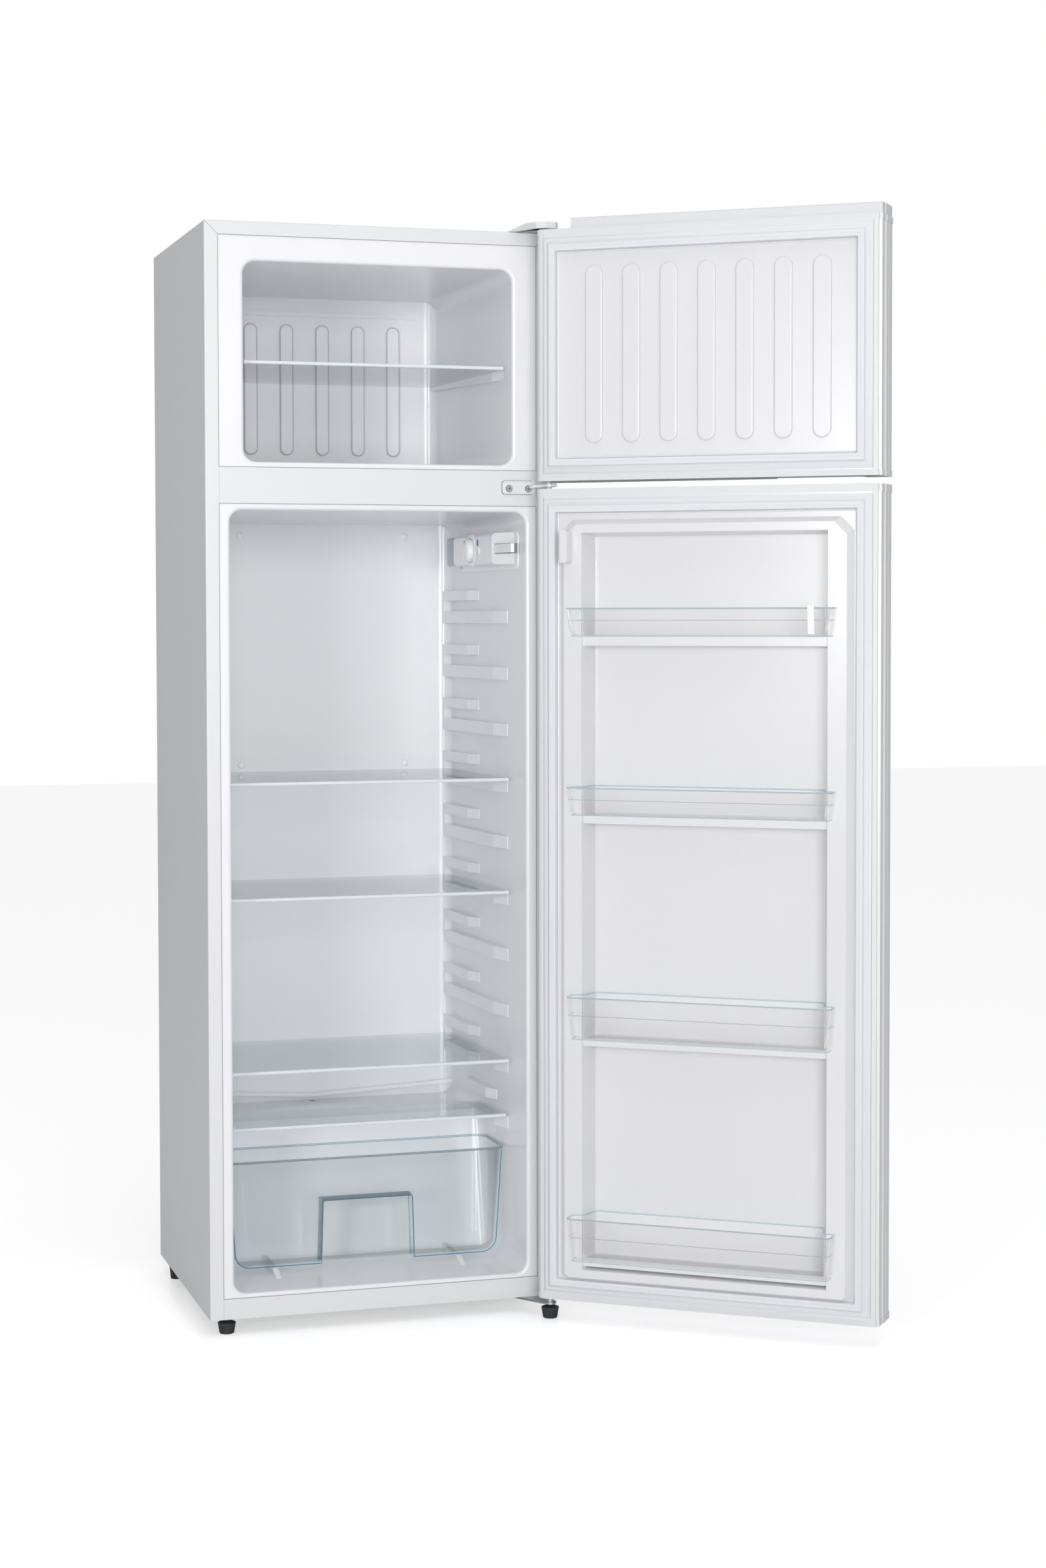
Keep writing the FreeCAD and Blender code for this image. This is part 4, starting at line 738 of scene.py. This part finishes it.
@dataclass
class Hinges:
    """Brackets, their screws and the cover on the upper one.

    Attributes:
        plate_right: right end of the middle bracket's plate.
        plate_z: lower and upper edge of that plate.
        face: front face of that plate.
        screw_x: where its two screws are.
        screw_z: height of the screws.
    """

    plate_right: float = 247.0
    plate_z: tuple[float, float] = (1294.0, 1314.5)
    face: float = -3.0
    screw_x: tuple[float, float] = (206.5, 237.9)
    screw_z: float = 1302.7

    def mesh(self) -> None:
        """The middle plate's folded rim, and painted shade in the gap round it, round its screw
        heads and in their cross recesses.
        """
        low, _ = box_mm("middle_hinge")
        left, (z0, z1) = low[0], self.plate_z
        rim = bead([(left + 1.0, self.face, z0 + 6.0), (left + 1.0, self.face, z1 - 1.0),
                    (self.plate_right - 4.0, self.face, z1 - 1.0)], 0.8, 5.0, AHEAD)
        make_piece("middle_hinge_rim", [rim], ENAMEL, "cabinet")
        # Painted shade: a dark bead round the plate, a dark disc under each screw head and dark
        # bars in the heads' crosses.
        dark = [bead(upright_ring((left - 0.2, self.plate_right), -0.3, (z0 - 0.2, z1 + 0.2)),
                     0.5, 5.0, AHEAD, True, 6)]
        for x in self.screw_x:
            centre = (x, self.face, self.screw_z)
            dark.append(lathe([(5.5, 0.1), (5.5, -0.25), (4.0, -0.3)], centre, "Y", 28))
            for long, short in ((2.9, 0.55), (0.55, 2.9)):
                outline = [(x - long, self.screw_z - short), (x + long, self.screw_z - short),
                           (x + long, self.screw_z + short), (x - long, self.screw_z + short)]
                dark.append(plate(outline, 0.1, "Y", self.face - 2.46, self.face - 2.2, 0.05))
        make_piece("middle_hinge_painted_shade", dark, RECESS_PAINTED_SHADE, "cabinet")

    def dress(self) -> None:
        """White enamel in sight, zinc where hidden."""
        dress(["middle_hinge"], ENAMEL)
        dress(["top_hinge", "bottom_hinge"], GALVANISED)
        dress(["top_hinge_cover"], MOULDED_ABS)
        dress(["hinge_screws"], ZINC_SCREW)


@dataclass
class Feet:
    """Levelling feet with knurled skirts."""

    def mesh(self) -> None:
        """Turned feet: a tapered skirt with shallow flutes under a plain neck."""
        skirt = [(10.6, 0.0), (11.3, 0.7), (12.2, 6.0), (13.2, 12.0), (13.9, 16.0),
                 (13.9, 16.8), (12.0, 17.6), (8.2, 18.9), (3.6, 19.0)]
        for node in ("left_foot", "right_foot"):
            low, high = box_mm(node)
            x, y = (low[0] + high[0]) / 2, (low[1] + high[1]) / 2
            turned = lathe(skirt, (x, y, 0.0), "Z", 72, 0.5, 18)
            stud = lathe([(3.6, 18.5), (3.6, high[2])], (x, y, 0.0), "Z", 24)
            piece = make_piece(node + "_turned", [turned, stud], CHARCOAL, node,
                               smooth=25)
            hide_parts(node)

    def dress(self) -> None:
        """Charcoal polypropylene."""
        dress(["rear_feet", "left_foot", "right_foot"], CHARCOAL)


@dataclass
class Shelves:
    """Glass shelves and their front strips."""

    names: tuple[str, ...] = ("freezer_shelf", "upper_shelf", "middle_shelf", "lower_shelf",
                              "crisper_cover")

    def mesh(self) -> None:
        """End pads: small rounded plugs at both ends of each front strip."""
        for name in self.names:
            low, high = box_mm(name + "_trim")
            middle = (low + high) / 2
            ends = []
            for side, x in ((-1, low[0]), (1, high[0])):
                outline = [(x, low[1] + 1.5), (x - side * 4, low[1] + 0.4),
                           (x - side * 4, high[1] + 4), (x, high[1] + 4)]
                ends.append(plate(outline, 1.5, "Z", middle[2] - 3.0, middle[2] + 3.0, 0.8))
            make_piece(name + "_end_pads", ends, SATIN_TRIM, name)

    def dress(self) -> None:
        """Float glass with a satin strip."""
        dress([name + "_glass" for name in self.names], SHELF_GLASS)
        dress([name + "_trim" for name in self.names], SATIN_TRIM)


@dataclass
class Crisper:
    """Clear drawer, with the deeper colour of its edges.

    Attributes:
        front: front face of the drawer at its rim.
        half_bottom: half width at its floor.
        grip_half: half width of the handle recess at its top.
        grip_top: height of the recess's roof.
        grip_depth: how far the recess goes in.
    """

    front: float = 98.0
    half_bottom: float = 213.4
    grip_half: float = 72.0
    grip_top: float = 177.0
    grip_depth: float = 26.0

    def mesh(self) -> None:
        """Beads along the rim, the recess and the bottom edges."""
        low, high = box_mm("crisper_drawer")
        x0, x1, y0, y1, top = low[0], high[0], low[1], high[1], high[2]
        floor = low[2]
        rim = [bead([(x0 + inset, y0 + inset, z), (x1 - inset, y0 + inset, z),
                     (x1 - inset, y1 - inset, z), (x0 + inset, y1 - inset, z)],
                    0.8, 15.0, UP, True)
               for inset, z in ((1.0, top - 0.9), (1.6, top - 2.9))]
        make_piece("crisper_drawer_rim", rim, PALE_EDGE, "crisper_drawer")
        edges = []
        for depth in (1.2, self.grip_depth + 1.0):
            y = self.front + depth
            edges.append(bead([(-self.grip_half - 4, y, floor + 0.9),
                               (-self.grip_half - 1, y, self.grip_top + 1),
                               (self.grip_half + 1, y, self.grip_top + 1),
                               (self.grip_half + 4, y, floor + 0.9)], 0.8, 5.0, AHEAD))
        for side in (-1, 1):
            x = side * self.half_bottom
            start = side * (self.grip_half + 5)
            edges.append(bead([(start, self.front + 5.5, floor + 1.2),
                               (x - side * 1.0, self.front + 5.5, floor + 1.2),
                               (x + side * 9.6, self.front + 5.5, top - 6)], 0.9, 24.0, AHEAD))
        make_piece("crisper_drawer_edges", edges, TEAL_EDGE, "crisper_drawer")

    def dress(self) -> None:
        """Clear polystyrene."""
        dress(["crisper_drawer"], CLEAR_DRAWER)


@dataclass
class ControlUnit:
    """Lamp housing with its knob, lens, tab and door switch.

    Attributes:
        wall: half width of the compartment at its front.
        draft: how much nearer the middle the wall is at the back.
        depth: depth over which the wall leans in by the draft.
        base_y: front and rear end of the housing's base rim.
        base_rise: its lower and upper edge, from the dial's centre.
    """

    wall: float = 235.0
    draft: float = 15.0
    depth: float = 405.0
    base_y: tuple[float, float] = (33.0, 335.0)
    base_rise: tuple[float, float] = (-33.5, 27.5)

    def mesh(self) -> None:
        """Dial with a knurled skirt and a collar, scale marks, a blue drop, rims and a tab."""
        low, high = box_mm("control_knob")
        y, z = (low[1] + high[1]) / 2, (low[2] + high[2]) / 2
        face = low[0]
        radius = (high[1] - low[1]) / 2
        dial = [(radius - 0.2, 11.2), (radius - 0.1, 9.0), (radius - 1.2, 3.0),
                (radius - 2.6, 1.4), (radius - 4.6, 1.0), (radius - 5.2, 1.6),
                (radius - 6.0, 1.6), (radius - 6.6, 0.4), (4.0, 0.05)]
        turned = lathe(dial, (face, y, z), "X", 96, 0.5, 32)
        shaft = lathe([(3.0, 11.0), (3.0, high[0] - face)], (face, y, z), "X", 24)
        piece = make_piece("control_knob_turned", [turned, shaft], WHITE_ABS, "control_knob",
                           smooth=30)
        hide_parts("control_knob")
        pointer = plate([(y - 1.1, z + 9), (y + 1.1, z + 9), (y + 0.7, z + 16),
                         (y - 0.7, z + 16)], 0.3, "X", face + 0.05, face + 0.9, 0.15)
        make_piece("knob_pointer", [pointer], GREY_INK, "control_knob")
        panel_low, _ = box_mm("control_housing")
        wall = panel_low[0]
        marks = []
        for n in range(9):
            turn = math.radians(-120 + 30 * n)
            a, b = math.sin(turn), math.cos(turn)
            near, far = radius + 1.0, radius + 3.2
            line = [(y + near * a - 0.35 * b, z + near * b + 0.35 * a),
                    (y + near * a + 0.35 * b, z + near * b - 0.35 * a),
                    (y + far * a + 0.35 * b, z + far * b - 0.35 * a),
                    (y + far * a - 0.35 * b, z + far * b + 0.35 * a)]
            marks.append(plate(line, 0.1, "X", wall - 0.15, wall + 0.3, 0.05))
        make_piece("dial_scale", marks, GREY_INK, "cabinet")
        curve = [(0.0, 7.0), (1.9, 4.0), (2.8, 0.0), (1.9, -3.6), (0.0, -5.0), (-1.9, -3.6),
                 (-2.8, 0.0), (-1.9, 4.0)]
        drop = plate([(y - 38 + 2.0 * a, z + 11 + b) for a, b in curve], 1.6, "X", wall - 0.35,
                     wall + 0.3, 0.1)
        make_piece("blue_mark", [drop], BLUE_INK, "cabinet")
        collar = lathe([(27.2, 17.0), (27.2, 1.6), (26.4, -0.5), (24.8, -1.6), (22.4, -1.9),
                        (20.7, -1.6), (20.2, 0.5)], (wall, y, z), "X", 72)
        make_piece("dial_collar", [collar], WHITE_ABS, "cabinet")
        slope = self.draft / self.depth
        (near, far), (below, above) = self.base_y, self.base_rise
        corners = [(self.wall - slope * at - 1.9, at, z + rise)
                   for at, rise in ((far, below), (near, below), (near, above), (far, above))]
        length = math.hypot(1.0, slope)
        ring = bead(corners, 0.9, 27.0, (1 / length, slope / length, 0.0), True)
        make_piece("housing_base_rim", [ring], WHITE_ABS, "cabinet")
        glass_low, glass_high = box_mm("lamp_lens")
        ring = bead(upright_ring((glass_low[0] + 0.8, glass_high[0] - 0.8), glass_low[1] - 1.0,
                                 (glass_low[2] + 0.8, glass_high[2] - 0.8)),
                    0.9, 6.0, AHEAD, True)
        make_piece("lens_rim", [ring], WHITE_ABS, "cabinet")
        tab = plate([(y - 52, z - 9), (y - 42, z - 9), (y - 42, z + 5), (y - 52, z + 5)], 3.0,
                    "X", wall - 2.2, wall + 0.4, 0.6)
        make_piece("housing_tab", [tab], WHITE_ABS, "cabinet")

    def dress(self) -> None:
        """White mouldings, frosted lens, bulb."""
        dress(["control_housing", "control_knob", "lamp_switch"], WHITE_ABS)
        dress(["lamp_lens"], FROSTED)
        dress(["lamp_bulb"], BULB_GLASS)
        dress(["thermostat"], BLACK_PLASTIC)


@dataclass
class Door:
    """One door: skin, caps, liner and a detailed magnetic gasket.

    Attributes:
        name: frame body of the door.
        hinged: its pin and resting angle.
        half: half width of the gasket's outer edge.
        panel_y: plane of the liner that the gasket is pushed into.
        bead_inset: how far inside the gasket's outer edge the liner's bead runs.
    """

    name: str
    hinged: Hinged
    half: float = 259.5
    panel_y: float = -11.5
    bead_inset: float = 24.2

    def mesh(self) -> None:
        """Gasket with its skirt, fold and magnet pocket, and the liner's bead inside it."""
        section = np.array([
            (0.3, 0.0), (0.0, 0.8), (0.6, 1.6), (3.4, 2.4), (4.0, 3.2), (4.8, 3.0), (7.4, 4.6),
            (9.8, 6.6), (10.9, 7.6), (10.7, 8.6), (11.1, 9.8), (12.0, 10.7), (13.0, 10.9),
            (16.1, 10.9), (16.5, 10.4), (17.3, 10.4), (17.7, 10.9), (20.2, 10.9), (21.3, 10.6),
            (21.8, 9.8), (21.7, 3.0), (22.4, 1.6), (22.4, 0.0)])
        low, high = box_mm(self.name + "_gasket")
        corners = np.array(upright_ring((-self.half, self.half), self.panel_y,
                                        (low[2], high[2])))
        inward = section * np.array([-1.0, 1.0])
        seal = carry(inward, corners, AHEAD, True)
        if seal.points[..., 0].max() > self.half + 1:
            seal = carry(section, corners, AHEAD, True)
        piece = make_piece(self.name + "_gasket_folded", [seal], VINYL, self.name,
                           self.hinged, smooth=50)
        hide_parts(self.name + "_gasket")
        inset = self.bead_inset
        line = bead(upright_ring((-self.half + inset, self.half - inset), self.panel_y + 0.4,
                                 (low[2] + inset, high[2] - inset)), 1.3, 3.0, AHEAD, True)
        make_piece(self.name + "_liner_bead", [line], DOOR_STYRENE, self.name,
                   self.hinged)

    def dress(self) -> None:
        """Painted skin, ABS caps, styrene liner, foam core."""
        dress([self.name + "_skin"], POWDER_COAT)
        dress([self.name + "_top_cap", self.name + "_bottom_cap"], MOULDED_ABS)
        dress([self.name + "_liner"], DOOR_STYRENE)
        dress([self.name + "_gasket"], VINYL)
        dress([self.name + "_foam"], FOAM)


@dataclass
class DoorBins:
    """Clear bins on the fridge door, and the clip on the top one.

    Attributes:
        hinged: the door's pin and resting angle.
        rim: half width of the front part at its rim.
        foot: half width of the front part at its floor.
        deep: half width of the part between the frame's sides.
        back: its rear face.
        front: its front face at the rim.
    """

    hinged: Hinged
    rim: float = 209.5
    foot: float = 203.5
    deep: float = 192.5
    back: float = -37.8
    front: float = 36.0
    count: int = 4

    def mesh(self) -> None:
        """Rolled rims, base edges, a line across each front, and painted highlights at the corners.
        """
        for number in range(1, self.count + 1):
            body = "door_bin_%d" % number
            low, high = box_mm(body)
            z, floor = high[2] - 1.2, low[2]
            half, front = self.rim - 1.2, self.front - 1.2
            rim = bead([(-self.deep + 10, self.back + 1.2, z), (-self.deep + 1.2, 2.6, z),
                        (-half, 2.2, z), (-half, front, z), (half, front, z), (half, 2.2, z),
                        (self.deep - 1.2, 2.6, z), (self.deep - 10, self.back + 1.2, z)],
                       1.15, 8.0, UP, True)
            foot = self.foot - 1.0
            base = bead([(-foot, 3.0, floor + 1.0), (-foot, front - 5.0, floor + 1.0),
                         (foot, front - 5.0, floor + 1.0), (foot, 3.0, floor + 1.0)],
                        0.95, 8.0, UP)
            share = 0.58
            line_z = floor + (z - floor) * share
            side = self.foot + (self.rim - self.foot) * share - 0.6
            ahead = front - 5 * (1 - share) + 0.9
            line = bead([(-side, 4.0, line_z), (-side, ahead, line_z), (side, ahead, line_z),
                         (side, 4.0, line_z)], 0.5, 9.0, UP)
            make_piece(body + "_edges", [rim, base, line], BLUE_EDGE, body,
                       self.hinged)
            # Painted highlight: thin white beads up each front corner and inner corner.
            corners = []
            for side in (-1, 1):
                upright = np.array([(side * (self.rim - 4.0), front - 3.0, z - 1),
                                    (side * (self.foot - 5.0), front - 7.5, floor + 8)])
                inner = np.array([(side * (self.deep - 1.2), 0.8, z - 1),
                                  (side * (self.deep - 1.2), 0.8, floor + 2)])
                corners.append(carry(circle(1.3, 8), upright, AHEAD, False))
                corners.append(carry(circle(0.9, 8), inner, AHEAD, False))
            make_piece(body + "_corners", corners, CORNER_PAINTED_HIGHLIGHT, body, self.hinged)

    def dress(self) -> None:
        """Clear polystyrene and the white clip."""
        dress(["door_bin_%d" % n for n in range(1, self.count + 1)], CLEAR_BIN)
        dress(["bottle_clip"], WHITE_ABS)


@dataclass
class Studio:
    """Pale floor, soft lights and the camera.

    Attributes:
        eye: camera position in metres.
        yaw: degrees that the view turns to the right of straight ahead.
        dip: degrees that it looks down.
        roll: degrees that it is tilted.
        lens: focal length in millimetres on a 36 mm sensor.
        shift: sideways and upward shift of the frame.
    """

    eye: tuple[float, float, float] = (-1.0257, -4.1474, 1.105)
    yaw: float = 17.208
    dip: float = 2.255
    roll: float = 0.084
    lens: float = 63.32
    shift: tuple[float, float] = (-0.0113, -0.0385)

    def camera(self) -> None:
        """Make the camera and set it as the scene's own."""
        data = bpy.data.cameras.new("camera")
        data.lens = self.lens
        data.sensor_width = 36.0
        data.shift_x, data.shift_y = self.shift
        data.clip_end = 60.0
        camera = bpy.data.objects.new("camera", data)
        camera.location = self.eye
        camera.rotation_euler = Euler((math.radians(90 - self.dip), math.radians(self.roll),
                                       math.radians(-self.yaw)))
        bpy.context.scene.collection.objects.link(camera)
        bpy.context.scene.camera = camera

    def floor(self) -> None:
        """A pale, slightly glossy floor."""
        grid = np.linspace(-14000, 14000, 9)
        x, y = np.meshgrid(grid, grid, indexing="ij")
        surface = Surface(np.stack([x, y, np.zeros_like(x)], -1))
        mesh = bpy.data.meshes.new("floor")
        points = surface.points.reshape(-1, 3) * MM
        mesh.from_pydata(points.tolist(), [], surface.faces(0))
        floor = bpy.data.objects.new("floor", mesh)
        bpy.context.scene.collection.objects.link(floor)
        material = bpy.data.materials.new("polished_white_laminate")
        material.use_nodes = True
        tree = material.node_tree
        tree.nodes.clear()
        shader = add_node(tree, "ShaderNodeBsdfPrincipled", inputs={
            "Base Color": srgb("F4F4F5"), "Roughness": 0.22, "IOR": 1.4})
        lift = add_node(tree, "ShaderNodeEmission", inputs={"Strength": 0.5})
        both = add_node(tree, "ShaderNodeAddShader", inputs={
            0: shader.outputs["BSDF"], 1: lift.outputs["Emission"]})
        path = add_node(tree, "ShaderNodeLightPath")
        shown = add_node(tree, "ShaderNodeMixShader", inputs={
            0: path.outputs["Is Camera Ray"], 1: shader.outputs["BSDF"],
            2: both.outputs["Shader"]})
        add_node(tree, "ShaderNodeOutputMaterial", inputs={"Surface": shown.outputs["Shader"]})
        mesh.materials.append(material)

    def light(self, name: str, place: Sequence[float], aim: Sequence[float], size: float,
              watts: float) -> None:
        """Add one square soft light.

        Args:
            name: its name.
            place: where it hangs, in metres.
            aim: point it faces.
            size: side of the square.
            watts: power.
        """
        data = bpy.data.lights.new(name, "AREA")
        data.size = size
        data.energy = watts
        lamp = bpy.data.objects.new(name, data)
        lamp.location = place
        lamp.rotation_euler = (Vector(aim) - Vector(place)).to_track_quat("-Z", "Y").to_euler()
        bpy.context.scene.collection.objects.link(lamp)

    def lights(self) -> None:
        """Softboxes in front and a white room behind them."""
        self.light("front", (-0.6, -6.5, 1.5), (0.0, 0.0, 0.9), 2.4, 140)
        self.light("key", (-3.5, -4.5, 1.4), (0.1, 0.0, 0.9), 1.1, 52)
        self.light("overhead", (0.0, -1.6, 4.5), (0.0, -0.6, 0.0), 3.0, 30)
        world = bpy.data.worlds.new("white_room")
        world.use_nodes = True
        tree = world.node_tree
        tree.nodes.clear()
        path = add_node(tree, "ShaderNodeLightPath")
        seen = add_node(tree, "ShaderNodeBackground", inputs={
            "Color": (1.0, 1.0, 1.0, 1.0), "Strength": 1.0})
        cast = add_node(tree, "ShaderNodeBackground", inputs={
            "Color": (0.99, 0.99, 1.0, 1.0), "Strength": 0.45})
        mixed = add_node(tree, "ShaderNodeMixShader", inputs={
            0: path.outputs["Is Camera Ray"], 1: cast.outputs["Background"],
            2: seen.outputs["Background"]})
        add_node(tree, "ShaderNodeOutputWorld", inputs={"Surface": mixed.outputs["Shader"]})
        bpy.context.scene.world = world
        bpy.context.scene.view_settings.view_transform = "Standard"


def main() -> None:
    """Build every sub-assembly in order and set the stage."""
    logging.basicConfig(level=logging.INFO)
    fridge_hinge = find_hinge("fridge_door_hinge")
    freezer_hinge = find_hinge("freezer_door_hinge")
    assemblies = [Cabinet(), Machine(), Hinges(), Feet(), Shelves(), Crisper(), ControlUnit(),
                  Door("freezer_door", freezer_hinge), Door("fridge_door", fridge_hinge),
                  DoorBins(fridge_hinge)]
    for assembly in assemblies:
        log.info("building %s", type(assembly).__name__)
        if hasattr(assembly, "mesh"):
            assembly.mesh()
        assembly.dress()
    studio = Studio()
    studio.camera()
    studio.floor()
    studio.lights()


if __name__ == "__main__":
    main()
